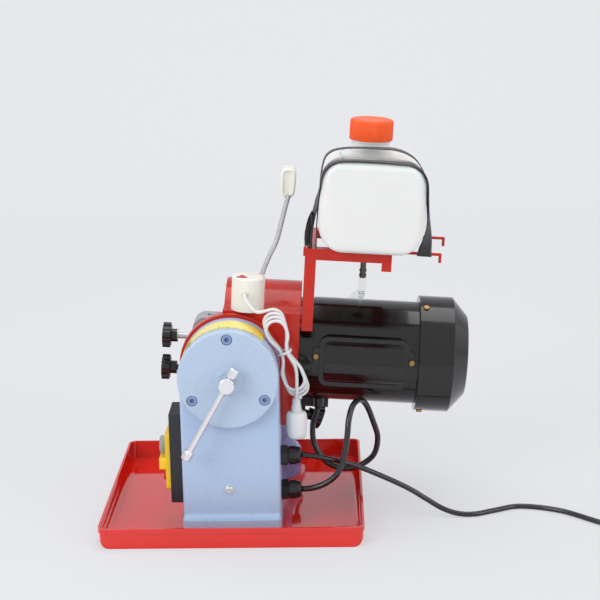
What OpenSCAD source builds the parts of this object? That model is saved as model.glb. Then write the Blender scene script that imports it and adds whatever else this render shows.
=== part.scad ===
// Wet grinding sharpener: fixed column, tilting grinding head, blade carriage.
// Millimetres. X to the right, Y away from the tilt clamp, Z up, floor at z = 0.

/* [Tray] */
// outer width of the tray at its hem
tray_w = 350; // [300:1:420]
// outer depth of the tray at its hem
tray_d = 345; // [300:1:420]
// height of the tray wall
tray_h = 28; // [20:1:45]
// sheet thickness
sheet_t = 1.5; // [1:0.1:3]
// height of the raised pad
pad_h = 8; // [6.5:0.5:15]

/* [Column] */
// half width of the column and radius of its round top
col_r = 65; // [55:0.5:80]
// height of the tilt axis
axis_h = 220; // [190:1:260]
// front face of the column
col_front = -128; // [-140:1:-110]
// back face of the lower housing
col_back = -60; // [-75:1:-58]
// wall thickness of the casting
col_wall = 8; // [5:0.5:12]

/* [Tilt head] */
// resting tilt of the head, top to the right
tilt_rest = 3.8; // [-20:0.1:14]
// diameter of the tilt shaft
tilt_shaft_d = 30; // [20:1:40]
// radius of the swivel disc
swivel_r = 69; // [60:0.5:80]
// right wall of the hood, outer face
hood_right = 89; // [80:1:100]
// left wall of the hood, outer face
hood_left = -15; // [-30:1:0]
// radius of the hood's arch
hood_r = 78; // [70:0.5:90]
// height of the grinding spindle
spindle_h = 222; // [200:1:250]
// distance of the grinding spindle behind the tilt centre
spindle_y = 28; // [10:1:40]

/* [Motor and wheel] */
// outside radius of the motor shell
motor_r = 71; // [60:0.5:80]
// outside radius of the fan cover
cover_r = 80; // [72:0.5:90]
// diameter of the rotor shaft
rotor_d = 19; // [14:0.5:24]
// diameter of the grinding wheel
wheel_d = 125; // [100:1:125]
// thickness of the grinding wheel
wheel_t = 10; // [6:1:12]

/* [Clamp and switch] */
// diameter of the sliding clamp bar
bar_d = 8; // [6:0.5:10]
// length of slide left in the clamp bar
bar_travel = 92; // [60:1:92]
// travel of the push buttons
button_travel = 2.5; // [1:0.5:3]

/* [Carriage] */
// pillar radius
pillar_r = 39; // [30:1:45]
// top of the pillar
pillar_top = 98; // [80:1:99]
// width of the carriage bar
rail_w = 36; // [25:1:45]
// thickness of the carriage bar
rail_t = 12; // [8:1:15]
// distance of the slider from the pillar
slider_at = 118; // [80:1:200]

/* [Bottle and lamp] */
// width of the coolant bottle
bottle_w = 138; // [100:1:160]
// depth of the coolant bottle
bottle_d = 154; // [100:1:170]
// diameter of the bottle cap
cap_d = 58; // [45:1:65]
// diameter of the lamp's base
lamp_d = 44.5; // [35:0.5:55]
// diameter of the mains lead
lead_d = 7.2; // [6:0.1:9]
// diameter of the motor cable
cable_d = 8; // [6:0.1:10]

/* [Hidden] */
$fn = 96;

head_z = 220;
spindle_rest = 222;
lift = spindle_h - spindle_rest;
hem_t = 3;
hem_h = 7;
tray_r = 14;
col_pitch_x = 48;
col_bolt_front = -112;
col_bolt_back = -76;
bolt_d = 8;
bolt_hole = bolt_d + 0.4;
drum_back = -70;
drum_y0 = col_front;
disc_t = 14;
disc_front = col_front - disc_t;
disc_r = col_r + 1;
disc_bolt_r = 54.5;
ring_t = 2;
bush_d = 38;
run = 0.05;
shaft_end = -125.2;
hub_r = 10.3;
hub_y = -158;
bar_tilt = 29.3;
cap_near = 17.1;
cap_far = cap_near + bar_travel + 0.6;
cap_l = 13;
box_x0 = -83;
box_y0 = -105;
box_y1 = -50;
box_z0 = 38;
box_z1 = 162;
plate_x0 = -90;
plate_y0 = -98;
plate_y1 = -52;
plate_z0 = 53;
plate_z1 = 131;
gland_y = -90;
gland_hi = 98.5;
gland_lo = 49.8;
gland_end = 27;
pillar_x = 33.5;
pillar_y = 100;
pivot_r = 12;
rail_z = 114;
rail_near = 42;
rail_far = 265;
slider_w = 60;
disc_y = -68;
hood_near = -56;
hood_wall = 4;
motor_wall = 10;
hood_ledge_y = -20;
lamp_foot = 291;
hood_ledge_z = lamp_foot + lift;
arch_y = 35;
arch_z = 235 + lift;
hood_bottom = 134 + lift;
gate_z = 188 + lift;
gate_y = -10;
bell_x = hood_right;
knob_hi = 234;
knob_lo = 188;
shell_x0 = 108;
shell_x1 = 252;
seat_r = motor_r - 1.5;
cover_x0 = 252.5;
cover_x1 = 299;
cone_x = 320;
wheel_x = -4;
arm_z = 366;
arm_top = 381;
arm_y = -56;
far_arm_y = 70;
angle_w = 15;
angle_t = 2.5;
hook_y0 = -39.5;
hook_y1 = 68.5;
hook_r = 2;
hook_z = arm_top - 2.5;
inlet_x = 120;
inlet_y = 8;
shoulder_r = 46;
bottle_x = 176;
bottle_y = -2;
neck_x = 170.5;
bottle_z0 = arm_top;
bottle_z1 = 500;
neck_z = 517;
neck_r = 25;
tap_x = 171;
lamp_x = 17.5;
lamp_y = -42.5;
lamp_top = 337;

// a block rounded on its upright edges
module upright_block(x0, y0, z0, x1, y1, z1, r) {
    translate([0, 0, z0]) linear_extrude(z1 - z0) round_rect(x0, y0, x1, y1, r);
}

module round_rect(x0, y0, x1, y1, r) {
    translate([x0 + r, y0]) square([x1 - x0 - 2 * r, y1 - y0]);
    translate([x0, y0 + r]) square([x1 - x0, y1 - y0 - 2 * r]);
    for (x = [x0 + r, x1 - r])
        for (y = [y0 + r, y1 - r])
            translate([x, y]) circle(r);
}

// a block rounded as seen from the front, from y0 to y1
module front_block(x0, z0, x1, z1, r, y0, y1) {
    translate([0, y1, 0]) rotate([90, 0, 0]) linear_extrude(y1 - y0) round_rect(x0, z0, x1, z1, r);
}

module box(x0, y0, z0, x1, y1, z1) {
    translate([x0, y0, z0]) cube([x1 - x0, y1 - y0, z1 - z0]);
}

// round bars along y, x and z
module rod_y(x, z, r, y0, y1) {
    translate([x, y0, z]) rotate([-90, 0, 0]) cylinder(r = r, h = y1 - y0);
}

module rod_x(y, z, r, x0, x1) {
    translate([x0, y, z]) rotate([0, 90, 0]) cylinder(r = r, h = x1 - x0);
}

module rod_z(x, y, r, z0, z1) {
    translate([x, y, z0]) cylinder(r = r, h = z1 - z0);
}

// a disc with a rounded top edge, standing on z = 0
module soft_disc(r, h, e) {
    rotate_extrude() {
        square([r - e, h]);
        square([r, h - e]);
        translate([r - e, h - e]) circle(e);
    }
}

module hex_y(x, z, af, y0, y1) {
    translate([x, y0, z]) rotate([-90, 0, 0]) cylinder(d = af / cos(30), h = y1 - y0, $fn = 6);
}

module hex_z(x, y, af, z0, z1) {
    translate([x, y, z0]) cylinder(d = af / cos(30), h = z1 - z0, $fn = 6);
}

// everything that tilts about the column's shaft
module on_head() {
    translate([0, 0, axis_h]) rotate([0, tilt_rest, 0]) translate([0, 0, -head_z]) children();
}

// what rides on the hood moves up and down with the spindle
module on_hood() {
    on_head() translate([0, 0, lift]) children();
}

// five-lobed hand knob standing on z = 0, with its hub and stud
module lobe_knob(r, h, stud_r, stud_l) {
    difference() {
        union() {
            translate([0, 0, 9]) cylinder(r = r * 0.8, h = h);
            for (i = [0:4]) rotate([0, 0, 72 * i]) translate([r * 0.68, 0, 9.6]) cylinder(r = r * 0.32, h = h - 1.2);
        }
        translate([0, 0, 9 + h - 2]) cylinder(r = r * 0.45, h = 3);
    }
    cylinder(r = r * 0.5, h = 9.5);
    translate([0, 0, -stud_l]) cylinder(r = stud_r, h = stud_l + 1);
}

// a round cable swept along points
function unit(v) = v / norm(v);
function run_dir(p, i) = unit(p[min(i + 1, len(p) - 1)] - p[max(i - 1, 0)]);
function side_dir(d, ref) = unit(cross(d, ref));
function ring_at(c, d, ref, r, n) =
    let (u = side_dir(d, ref), v = cross(d, u))
    [for (k = [0:n - 1]) c + r * (cos(360 * k / n) * u + sin(360 * k / n) * v)];
function blend_at(a, b, c, d, t) =
    0.5 * (2 * b + (c - a) * t + (2 * a - 5 * b + 4 * c - d) * t * t + (3 * b - a - 3 * c + d) * t * t * t);
function smooth_run(p, m) = concat(
    [for (i = [0:len(p) - 2]) for (j = [0:m - 1])
        blend_at(p[max(i - 1, 0)], p[i], p[i + 1], p[min(i + 2, len(p) - 1)], j / m)],
    [p[len(p) - 1]]);

module cable(pts, r, ref, n) {
    rings = len(pts);
    v = [for (i = [0:rings - 1]) each ring_at(pts[i], run_dir(pts, i), ref, r, n)];
    sides = [for (i = [0:rings - 2]) for (k = [0:n - 1])
        [i * n + k, (i + 1) * n + k, (i + 1) * n + (k + 1) % n, i * n + (k + 1) % n]];
    first = [for (k = [0:n - 1]) k];
    last = [for (k = [n - 1:-1:0]) (rings - 1) * n + k];
    polyhedron(points = v, faces = concat(sides, [first], [last]), convexity = 8);
}

// ---------------------------------------------------------------- tray

module tray_shell(w, d, z0, z1, r) {
    intersection() {
        front_block(-w / 2, z0, w / 2, z1 + 2 * r, r, -d / 2, d / 2);
        upright_block(-w / 2, -d / 2, z0, w / 2, d / 2, z1, 10);
    }
}

module pad_plan(e, z0, z1) {
    upright_block(-73 + e, -150 + e, z0, 73 - e, -30 - e, z1, 6);
    box(18 + e, -60, z0, 70 - e, 80, z1);
    rod_z(pillar_x, pillar_y, 60 - e, z0, z1);
}

module column_bolt_spots() {
    for (x = [-col_pitch_x, col_pitch_x])
        for (y = [col_bolt_front, col_bolt_back])
            translate([x, y, 0]) children();
}

module pillar_bolt_spots() {
    for (a = [45:90:315])
        translate([pillar_x + 46 * cos(a), pillar_y + 46 * sin(a), 0]) children();
}

module tray() {
    color("#c8281e") difference() {
        union() {
            difference() {
                tray_shell(tray_w - 3, tray_d - 3, 0, tray_h, tray_r);
                tray_shell(tray_w - 3 - 2 * sheet_t, tray_d - 3 - 2 * sheet_t, sheet_t, tray_h + 5, tray_r - sheet_t);
            }
            difference() {
                upright_block(-tray_w / 2, -tray_d / 2, tray_h - hem_h, tray_w / 2, tray_d / 2, tray_h, 11);
                upright_block(-tray_w / 2 + hem_t, -tray_d / 2 + hem_t, 0, tray_w / 2 - hem_t, tray_d / 2 - hem_t, 40, 9);
            }
            pad_plan(0, 0, pad_h);
        }
        pad_plan(sheet_t, -1, pad_h - sheet_t);
        column_bolt_spots() cylinder(d = bolt_hole, h = 30);
        pillar_bolt_spots() cylinder(d = bolt_hole, h = 30);
    }
}

module foot_bolts() {
    color("#8f9296") {
        column_bolt_spots() foot_bolt();
        pillar_bolt_spots() foot_bolt();
    }
}

module foot_bolt() {
    hex_z(0, 0, 13, 1.2, pad_h - sheet_t);
    rod_z(0, 0, bolt_d / 2, pad_h - sheet_t - 0.5, 24);
}

// -------------------------------------------------------------- column

module column() {
    color("#aebfd8") difference() {
        union() {
            upright_block(-col_r, col_front, pad_h, col_r, col_back, 145, 4);
            upright_block(-col_r, col_front, 130, col_r, drum_back, axis_h, 4);
            rod_y(0, axis_h, col_r, drum_y0, drum_back);
            upright_block(-col_r, col_front - 12, pad_h, col_r, col_front + 10, 25.7, 4);
            upright_block(-col_r, col_back - 10, pad_h, col_r, col_back + 14, 20, 4);
            difference() {
                box(-col_r + 2, col_front - 6, 25, col_r - 2, col_front + 1, 31.7);
                rod_x(col_front - 6, 31.7, 6, -80, 80);
            }
        }
        difference() {
            upright_block(-col_r + col_wall, col_front + col_wall, 0, col_r - col_wall, col_back - col_wall, 150, 4);
            column_bolt_spots() cylinder(r = 11, h = 34);
        }
        column_bolt_spots() cylinder(d = bolt_d, h = 26);
        difference() {
            rod_y(0, axis_h, 46, -116, 0);
            rod_y(0, axis_h, 27, -120, 0);
        }
        rod_y(0, axis_h, bush_d / 2, -126, 0);
        rod_y(0, axis_h, 13, -140, -120);
        disc_bolt_spots() rod_y(0, 0, bolt_d / 2, -140, -104);
        box(-80, -98, 60, -col_r + col_wall + 1, -72, 125);
        for (z = [gland_lo, gland_hi]) rod_x(gland_y, z, 10.2, 50, 80);
        rod_y(-3, 65, 2.5, -140, -118);
    }
}

module disc_bolt_spots() {
    for (a = [90, 210, 330])
        translate([disc_bolt_r * cos(a), 0, axis_h + disc_bolt_r * sin(a)]) children();
}

module end_disc() {
    color("#aebfd8") difference() {
        union() {
            translate([0, col_front, axis_h]) rotate([90, 0, 0]) soft_disc(disc_r, disc_t, 3);
            rod_y(0, axis_h, 19.5, disc_front - ring_t, disc_front + 1);
        }
        rod_y(0, axis_h, 8 + run, -160, -120);
        rod_y(0, axis_h, 13, col_front - 5, -120);
        disc_bolt_spots() rod_y(0, 0, 4.2, -160, -120);
        disc_bolt_spots() rod_y(0, 0, 7.25, -160, disc_front + 9);
    }
}

module disc_screws() {
    color("#8ba3c6") disc_bolt_spots() {
        difference() {
            rod_y(0, 0, 6.5, disc_front + 1, disc_front + 9);
            hex_y(0, 0, 6, disc_front, disc_front + 5);
        }
        rod_y(0, 0, bolt_d / 2, disc_front + 8.5, -108);
    }
}

module tilt_bearings() {
    color("#b98d4b") {
        difference() {
            rod_y(0, axis_h, bush_d / 2, -126, drum_back);
            rod_y(0, axis_h, tilt_shaft_d / 2 + run, -130, -60);
        }
        rod_y(0, axis_h, 12.9, -132, shaft_end - 0.3);
        difference() {
            rod_y(0, axis_h, 60, drum_back, disc_y - 0.1);
            rod_y(0, axis_h, tilt_shaft_d / 2 + 0.5, -80, -60);
        }
    }
}

module angle_scale() {
    color("#f2dc3c") translate([0, -122, axis_h]) rotate([-90, 0, 0]) rotate([0, 0, -158])
        rotate_extrude(angle = 112) translate([col_r + 0.02, 0]) square([0.6, 35]);
}

module earth_screw() {
    color("#d8d9dc") {
        difference() {
            translate([-3, col_front, 65]) rotate([90, 0, 0]) soft_disc(5, 3.6, 1.6);
            box(-9, col_front - 5, 64.4, 3, col_front - 2, 65.6);
        }
        rod_y(-3, 65, 2.5, col_front - 0.5, col_front + 9);
        rod_y(-3, 65, 6.5, col_front - 0.8, col_front);
    }
}

// -------------------------------------------------------------- switch

module switch_box() {
    color("#2b2c2e") difference() {
        box(box_x0, box_y0, box_z0, -col_r, box_y1, box_z1);
        box(box_x0 + 2.5, box_y0 + 2.5, box_z0 + 2.5, -col_r + 1, box_y1 - 2.5, box_z1 - 2.5);
        box(-90, -85, 58, -75, -65, 122);
    }
}

module switch_plate() {
    color("#f0b418") difference() {
        union() {
            front_side(plate_x0, plate_y0, plate_z0, box_x0, plate_y1, plate_z1, 4);
            front_side(plate_x0 - 9, plate_y0 + 4, 80, plate_x0 + 1, plate_y1 - 4, 95.7, 3);
        }
        rod_x(-75, 69.5, 9.8, -110, -70);
        rod_x(-75, 110.5, 9.8, -110, -70);
        front_side(plate_x0 + 2, -88, 56, -70, -62, 124, 2);
    }
}

// a block rounded as seen from the side, along x
module front_side(x0, y0, z0, x1, y1, z1, r) {
    translate([x0, 0, 0]) rotate([90, 0, 90]) linear_extrude(x1 - x0) round_rect(y0, z0, y1, z1, r);
}

module switch_boot() {
    color("#d7dad8", 0.5) difference() {
        union() {
            rod_x(-75, 110.5, 13.2, plate_x0 - 2, plate_x0);
            translate([plate_x0 - 1, -75, 110.5]) rotate([0, -90, 0]) soft_disc(12, 8, 3);
        }
        rod_x(-75, 110.5, 10.8, plate_x0 - 7.6, -80);
    }
}

module start_button() {
    color("#2f9b4a") {
        rod_x(-75, 110.5, 9.5, plate_x0 - 2 - button_travel, plate_x0 + 4);
        rod_x(-75, 110.5, 5, plate_x0, -78);
    }
}

module stop_button() {
    color("#cf2420") {
        translate([plate_x0 + 4, -75, 69.5]) rotate([0, -90, 0]) soft_disc(9.5, 6 + button_travel, 1);
        rod_x(-75, 69.5, 5, plate_x0, -78);
    }
}

module cable_glands() {
    color("#26272a") for (z = [gland_lo, gland_hi]) translate([col_r, gland_y, z]) rotate([0, 90, 0]) difference() {
        union() {
            translate([0, 0, -col_wall - 4]) cylinder(d = 26 / cos(30), h = 4, $fn = 6);
            translate([0, 0, -col_wall - 1]) cylinder(r = 10.2, h = col_wall + 2);
            cylinder(d = 25 / cos(30), h = 9, $fn = 6);
            translate([0, 0, 8]) cylinder(r = 10.5, h = 4);
            translate([0, 0, 10.5]) cylinder(d = 25.5, h = 9.5, $fn = 12);
            translate([0, 0, 19.5]) soft_disc(11.4, gland_end - 19.5, 4);
        }
        translate([0, 0, -20]) cylinder(r = 6, h = 36);
        translate([0, 0, 15]) cylinder(d = cable_d, h = 20);
    }
}

// --------------------------------------------------------------- clamp

module clamp_screw() {
    color("#d9dadb") difference() {
        union() {
            rod_y(0, axis_h, 8, -146.5, -132.1);
            translate([0, -146, axis_h]) rotate([90, 0, 0]) soft_disc(hub_r, 24, 1.5);
        }
        translate([0, hub_y, axis_h]) rotate([0, bar_tilt, 0]) cylinder(r = bar_d / 2 + run, h = 40, center = true);
    }
}

module bar_line() {
    translate([0, hub_y, axis_h]) rotate([0, bar_tilt, 0]) children();
}

module clamp_bar() {
    color("#d4d6d8") bar_line() translate([0, 0, -cap_far - 4]) cylinder(d = bar_d, h = cap_far + cap_near + 8);
}

module clamp_bar_caps() {
    color("#d9dadb") bar_line() for (s = [cap_near, -cap_far]) translate([0, 0, s]) difference() {
        union() {
            soft_disc(7, cap_l / 2, 2);
            rotate([180, 0, 0]) soft_disc(7, cap_l / 2, 2);
        }
        cylinder(d = bar_d, h = 8, center = true);
        translate([0, 0, s > 0 ? -10 : 0]) cylinder(d = bar_d, h = 10);
    }
}

// ------------------------------------------------- pillar and carriage

module pillar() {
    color("#9fb0d2") difference() {
        union() {
            rod_z(pillar_x, pillar_y, 54, pad_h, 40);
            translate([pillar_x, pillar_y, 40]) cylinder(r1 = 54, r2 = pillar_r, h = 22);
            rod_z(pillar_x, pillar_y, pillar_r, 61, pillar_top);
        }
        rod_z(pillar_x, pillar_y, pivot_r + run, 50, 120);
        pillar_bolt_spots() cylinder(d = bolt_d, h = 26);
        lock_line() translate([0, 0, -30]) cylinder(r = 4 + run, h = 60);
    }
}

module lock_line() {
    translate([pillar_x + pillar_r * cos(25), pillar_y + pillar_r * sin(25), 84]) rotate([0, 90, 25]) children();
}

module pillar_lock() {
    color("#c8281e") lock_line() {
        translate([0, 0, -20]) cylinder(r = 4, h = 24);
        translate([0, 0, 3]) cylinder(r = 8, h = 12);
    }
    color("#c8281e") lock_line() translate([0, 0, 9]) {
        rotate([0, 78, 0]) cylinder(r = 3, h = 28);
        rotate([0, 78, 0]) translate([0, 0, 26]) cylinder(r = 5.5, h = 12);
    }
}

module at_pillar() {
    translate([pillar_x, pillar_y, 0]) children();
}

module carriage_swivel() {
    color("#aebfd8") at_pillar() difference() {
        union() {
            rod_z(0, 0, 38, pillar_top + 0.3, 112);
            upright_block(-30, -38, 106, 30, 38, rail_z + rail_t, 5);
            rod_z(0, 0, pivot_r, 54, pillar_top + 1);
        }
        box(-rail_w / 2, -60, rail_z, rail_w / 2, 60, 140);
        for (y = [-22, 22]) rod_z(0, y, 3, 100, 120);
    }
}

module rail_screw_spots() {
    for (y = [-22, 22]) translate([0, y, rail_z + rail_t]) children();
}

module carriage_rail() {
    color("#c3c6c9") at_pillar() {
        difference() {
            upright_block(-rail_w / 2, -rail_near, rail_z, rail_w / 2, rail_far, rail_z + rail_t, 1);
            rail_screw_spots() translate([0, 0, -20]) cylinder(r = 3, h = 40);
            rail_screw_spots() translate([0, 0, -3.5]) cylinder(r1 = 3, r2 = 6.5, h = 3.5);
            rod_z(0, rail_far - 13, 3, 100, 140);
        }
        rail_screw_spots() difference() {
            union() {
                translate([0, 0, -24]) cylinder(r = 3, h = 21);
                translate([0, 0, -3.5]) cylinder(r1 = 3, r2 = 6.3, h = 3.3);
            }
            translate([0, 0, -2.5]) cylinder(d = 4 / cos(30), h = 5, $fn = 6);
        }
        difference() {
            union() {
                rod_z(0, rail_far - 13, 3, 110, rail_z + rail_t + 1);
                rod_z(0, rail_far - 13, 5, rail_z + rail_t, rail_z + rail_t + 6);
            }
            hex_z(0, rail_far - 13, 5, rail_z + rail_t + 3, 140);
        }
    }
}

module slider() {
    color("#b9bdc1") at_pillar() translate([0, slider_at, 0]) difference() {
        union() {
            upright_block(-slider_w / 2, -28, 106, slider_w / 2, 28, 136, 5);
            rod_z(0, 0, 17, 135, 146);
        }
        box(-rail_w / 2 - run, -60, rail_z - run, rail_w / 2 + run, 60, rail_z + rail_t + run);
        rod_z(0, 0, 8 + run, 128, 160);
        rod_x(0, rail_z + rail_t / 2, 4, -60, -rail_w / 2);
    }
}

module slider_knob() {
    color("#222326") at_pillar() translate([-slider_w / 2 - 2, slider_at, rail_z + rail_t / 2]) rotate([0, -90, 0])
        lobe_knob(15, 9, 4 - run, slider_w / 2 - rail_w / 2 + 1.9 - 0.1);
}

module blade_table() {
    color("#c9ccd0") at_pillar() translate([0, slider_at, 0]) {
        rod_z(0, 0, 35, 146.3, 151);
        rod_z(0, 0, 8, 129, 147);
        rod_z(0, 0, 5, 150, 172.6);
        rod_z(0, 0, 4.5, 172, 184.6);
    }
}

module blade_cone() {
    color("#b98d4b") at_pillar() translate([0, slider_at, 0]) difference() {
        union() {
            translate([0, 0, 151]) cylinder(r1 = 24, r2 = 9, h = 16);
            rod_z(0, 0, 12, 167, 172);
        }
        rod_z(0, 0, 5, 140, 200);
        for (a = [0:30:330]) rotate([0, 0, a]) translate([12.8, 0, 167]) cylinder(r = 1.6, h = 8);
    }
}

// ---------------------------------------------------------- tilt head

module swivel_bolt_spots() {
    for (a = [30:60:330]) translate([54 * cos(a), 0, head_z + 54 * sin(a)]) children();
}

module swivel_disc() {
    color("#c8281e") on_head() difference() {
        rod_y(0, head_z, swivel_r, disc_y, hood_near);
        rod_y(0, head_z, tilt_shaft_d / 2, disc_y - 1, -60);
        swivel_bolt_spots() rod_y(0, 0, 3, disc_y - 1, -50);
        swivel_bolt_spots() rod_y(0, 0, 5.2, disc_y - 1, disc_y + 6);
    }
}

module tilt_shaft() {
    color("#b4b7bb") on_head() {
        rod_y(0, head_z, tilt_shaft_d / 2, shaft_end, -60);
        swivel_bolt_spots() rod_y(0, 0, 3, disc_y + 4, hood_near + 10);
        swivel_bolt_spots() difference() {
            rod_y(0, 0, 5, disc_y + 0.5, disc_y + 6);
            hex_y(0, 0, 5, disc_y, disc_y + 3.5);
        }
    }
}

module hood_side(e, x0, x1) {
    rod_x(arch_y, arch_z, hood_r - e, x0, x1);
    box(x0, hood_near + e, hood_bottom + e, x1, arch_y, hood_ledge_z - e);
}

module hood_solid(e, x0, x1) {
    difference() {
        hood_side(e, x0, x1);
        box(x0 - 1, gate_y - e, 0, x1 + 1, 200, gate_z + e);
        box(x0 - 1, -100, hood_ledge_z - e, x1 + 1, hood_ledge_y, 400);
    }
}

module hood() {
    color("#c8281e") on_head() difference() {
        union() {
            hood_solid(0, hood_left, hood_right);
            rod_x(spindle_y, spindle_h, 70, hood_right - motor_wall, hood_right);
        }
        difference() {
            hood_solid(hood_wall, hood_left + hood_wall, hood_right - motor_wall);
            box(-40, -60, 100, 100, -46, 300);
        }
        box(hood_left + hood_wall, gate_y - hood_wall, 100, hood_right - motor_wall, 120, gate_z + 10);
        box(hood_left - 1, gate_y - 2, 100, hood_left + hood_wall + 1, 60, gate_z + 22);
        rod_x(spindle_y, spindle_h, 26, 60, 120);
        for (z = [222, 250]) rod_x(18, z + lift, 3, -40, 0);
        swivel_bolt_spots() rod_y(0, 0, 3, -60, hood_near + 10);
        translate([0, 0, lift]) bracket_bolt_spots() rod_x(0, 0, 2.5, 70, 120);
        for (a = [45:90:315]) rod_x(spindle_y + 60 * cos(a), spindle_h + 60 * sin(a), 3, 70, 120);
    }
}

module stop_block() {
    color("#c2c5c9") on_hood() difference() {
        union() {
            front_block(-58, 196, hood_left, 267, 17, -10, 25);
            box(-30, -10, 176, hood_left, 25, 267);
            front_block(-58, 174, hood_left, 210, 5, -10, 25);
        }
        rod_x(10, knob_hi, 4 + run, -60, -40);
        rod_x(10, knob_lo, 4 + run, -60, -40);
        rod_z(-35, 8, 4 + run, 160, 280);
        box(-70, -20, 206, -46, 40, 217);
        for (z = [222, 250]) rod_x(18, z, 3, -40, 0);
    }
    color("#8f9296") on_hood() for (z = [222, 250]) rod_x(18, z, 3, -25, hood_left + hood_wall);
}

module stop_knob_upper() {
    color("#222326") on_hood() translate([-79, 10, knob_hi]) rotate([0, -90, 0]) lobe_knob(18, 12, 4, 39);
}

module stop_knob_lower() {
    color("#222326") on_hood() translate([-79, 10, knob_lo]) rotate([0, -90, 0]) lobe_knob(18, 12, 4, 39);
}

module stop_finger() {
    color("#a9adb2") on_hood() {
        rod_z(-35, 8, 4, 168, 266);
        box(-38, 5, 160, -32, 11, 170);
    }
}

// --------------------------------------------------------------- motor

module motor_screw_spots() {
    for (a = [45:90:315])
        translate([0, spindle_y + 60 * cos(a), spindle_h + 60 * sin(a)]) children();
}

module motor_bells() {
    color("#1c1c1e") on_head() difference() {
        union() {
            rod_x(spindle_y, spindle_h, motor_r - 1, bell_x, shell_x0);
            rod_x(spindle_y, spindle_h, seat_r, shell_x0 - 1, shell_x0 + 6);
            rod_x(spindle_y, spindle_h, seat_r, 236, shell_x1);
            rod_x(spindle_y, spindle_h, motor_r - 0.5, shell_x1, shell_x1 + 14);
            rod_x(spindle_y, spindle_h, 25, bell_x - 6, bell_x + 2);
        }
        rod_x(spindle_y, spindle_h, 17.5, 85, 97);
        rod_x(spindle_y, spindle_h, 12, 80, 260);
        rod_x(spindle_y, spindle_h, 58, 98, 120);
        rod_x(spindle_y, spindle_h, 58, 230, 246);
        rod_x(spindle_y, spindle_h, 17.5, 240, 252);
        rod_x(spindle_y, spindle_h, 60, 252.5, 270);
        motor_screw_spots() rod_x(0, 0, 3, 80, 104);
        cover_screw_spots() rod_z(0, 0, 2, 50, 90);
    }
}

module cover_screw_spots() {
    for (a = [24, 160, 272]) translate([cover_x0 + 8, spindle_y, spindle_h]) rotate([a, 0, 0]) children();
}

module motor_shell() {
    color("#1c1c1e") on_head() {
        difference() {
            union() {
                rod_x(spindle_y, spindle_h, motor_r, shell_x0, shell_x1);
                rod_z(inlet_x, inlet_y, 8, 143 + lift, 156 + lift);
            }
            rod_x(spindle_y, spindle_h, seat_r, 100, 260);
            rod_z(inlet_x, inlet_y, 3, 100, 180);
        }
        difference() {
            union() {
                front_block(108.5, 215 + lift, 247, 243 + lift, 6, spindle_y - motor_r - 2, spindle_y - 60);
                front_block(117.5, 190 + lift, 238, 259 + lift, 12, spindle_y - motor_r - 4, spindle_y - 60);
                intersection() {
                    front_block(124, 196 + lift, 232, 253 + lift, 9, spindle_y - motor_r - 22, spindle_y - 60);
                    rod_x(spindle_y - motor_r + 10, 224.5 + lift, 32, 115, 240);
                }
            }
            rod_x(spindle_y, spindle_h, motor_r, 80, 260);
            intersection() {
                front_block(127, 199 + lift, 229, 250 + lift, 6, spindle_y - motor_r - 19, spindle_y - 60);
                rod_x(spindle_y - motor_r + 10, 224.5 + lift, 29, 115, 240);
            }
            plate_screw_spots() rod_y(0, 0, 1.5, -50, -40);
        }
    }
}

module plate_screw_spots() {
    translate([113, 0, 230.5 + lift]) children();
    translate([242.5, 0, 228 + lift]) children();
}

module stator() {
    color("#8a6a4a") on_head() difference() {
        rod_x(spindle_y, spindle_h, seat_r, 130, 212);
        rod_x(spindle_y, spindle_h, 36, 120, 230);
    }
}

module bearings() {
    color("#9b9ea3") on_head() for (x = [85, 240]) difference() {
        rod_x(spindle_y, spindle_h, 17.5, x, x + 12);
        rod_x(spindle_y, spindle_h, rotor_d / 2 + run, x - 1, x + 13);
    }
}

module motor_screws() {
    color("#c9a24f") on_head() {
        plate_screw_spots() {
            translate([0, spindle_y - motor_r - 2, 0]) rotate([90, 0, 0]) soft_disc(4, 3, 1);
            rod_y(0, 0, 1.5, spindle_y - motor_r - 3, spindle_y - motor_r + 0.2);
        }
        cover_screw_spots() {
            translate([0, 0, cover_r]) soft_disc(4, 2.6, 1);
            rod_z(0, 0, 2, 66, cover_r + 1);
        }
        motor_screw_spots() rod_x(0, 0, 3, 80, 99);
        motor_screw_spots() rod_x(0, 0, 5, 74, 79);
    }
}

module fan_cover() {
    color("#1c1c1e") on_head() difference() {
        union() {
            rod_x(spindle_y, spindle_h, cover_r, cover_x0, cover_x1);
            translate([cover_x1, spindle_y, spindle_h]) rotate([0, 90, 0]) cylinder(r1 = cover_r, r2 = 56, h = cone_x - cover_x1);
        }
        rod_x(spindle_y, spindle_h, cover_r - 2, cover_x0 + 14, cover_x1);
        rod_x(spindle_y, spindle_h, motor_r - 0.5, cover_x0 - 1, cover_x0 + 15);
        translate([cover_x1 - 0.01, spindle_y, spindle_h]) rotate([0, 90, 0]) cylinder(r1 = cover_r - 2, r2 = 56, h = cone_x - cover_x1 - 2);
        for (r = [16, 27, 38, 49]) translate([cone_x - 4, spindle_y, spindle_h]) rotate([0, 90, 0]) difference() {
            cylinder(r = r + 3, h = 6);
            cylinder(r = r - 3, h = 6);
            translate([-60, -3, -1]) cube([120, 6, 9]);
            translate([-3, -60, -1]) cube([6, 120, 9]);
        }
        cover_screw_spots() rod_z(0, 0, 2, 60, 90);
    }
}

module at_motor_knob() {
    translate([106, spindle_y + 2, 124.5 + lift]) rotate([0, 108, 0]) children();
}

module knob_bracket() {
    color("#2a2b2e") on_head() difference() {
        union() {
            box(96.6, spindle_y - 12, 139 + lift, 134, spindle_y + 16, 158 + lift);
            box(92, spindle_y - 6, 116 + lift, 102.5, spindle_y + 10, 142 + lift);
        }
        rod_x(spindle_y, spindle_h, motor_r, 80, 200);
        at_motor_knob() translate([0, 0, -20]) cylinder(r = 4 + run, h = 30);
    }
}

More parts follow.
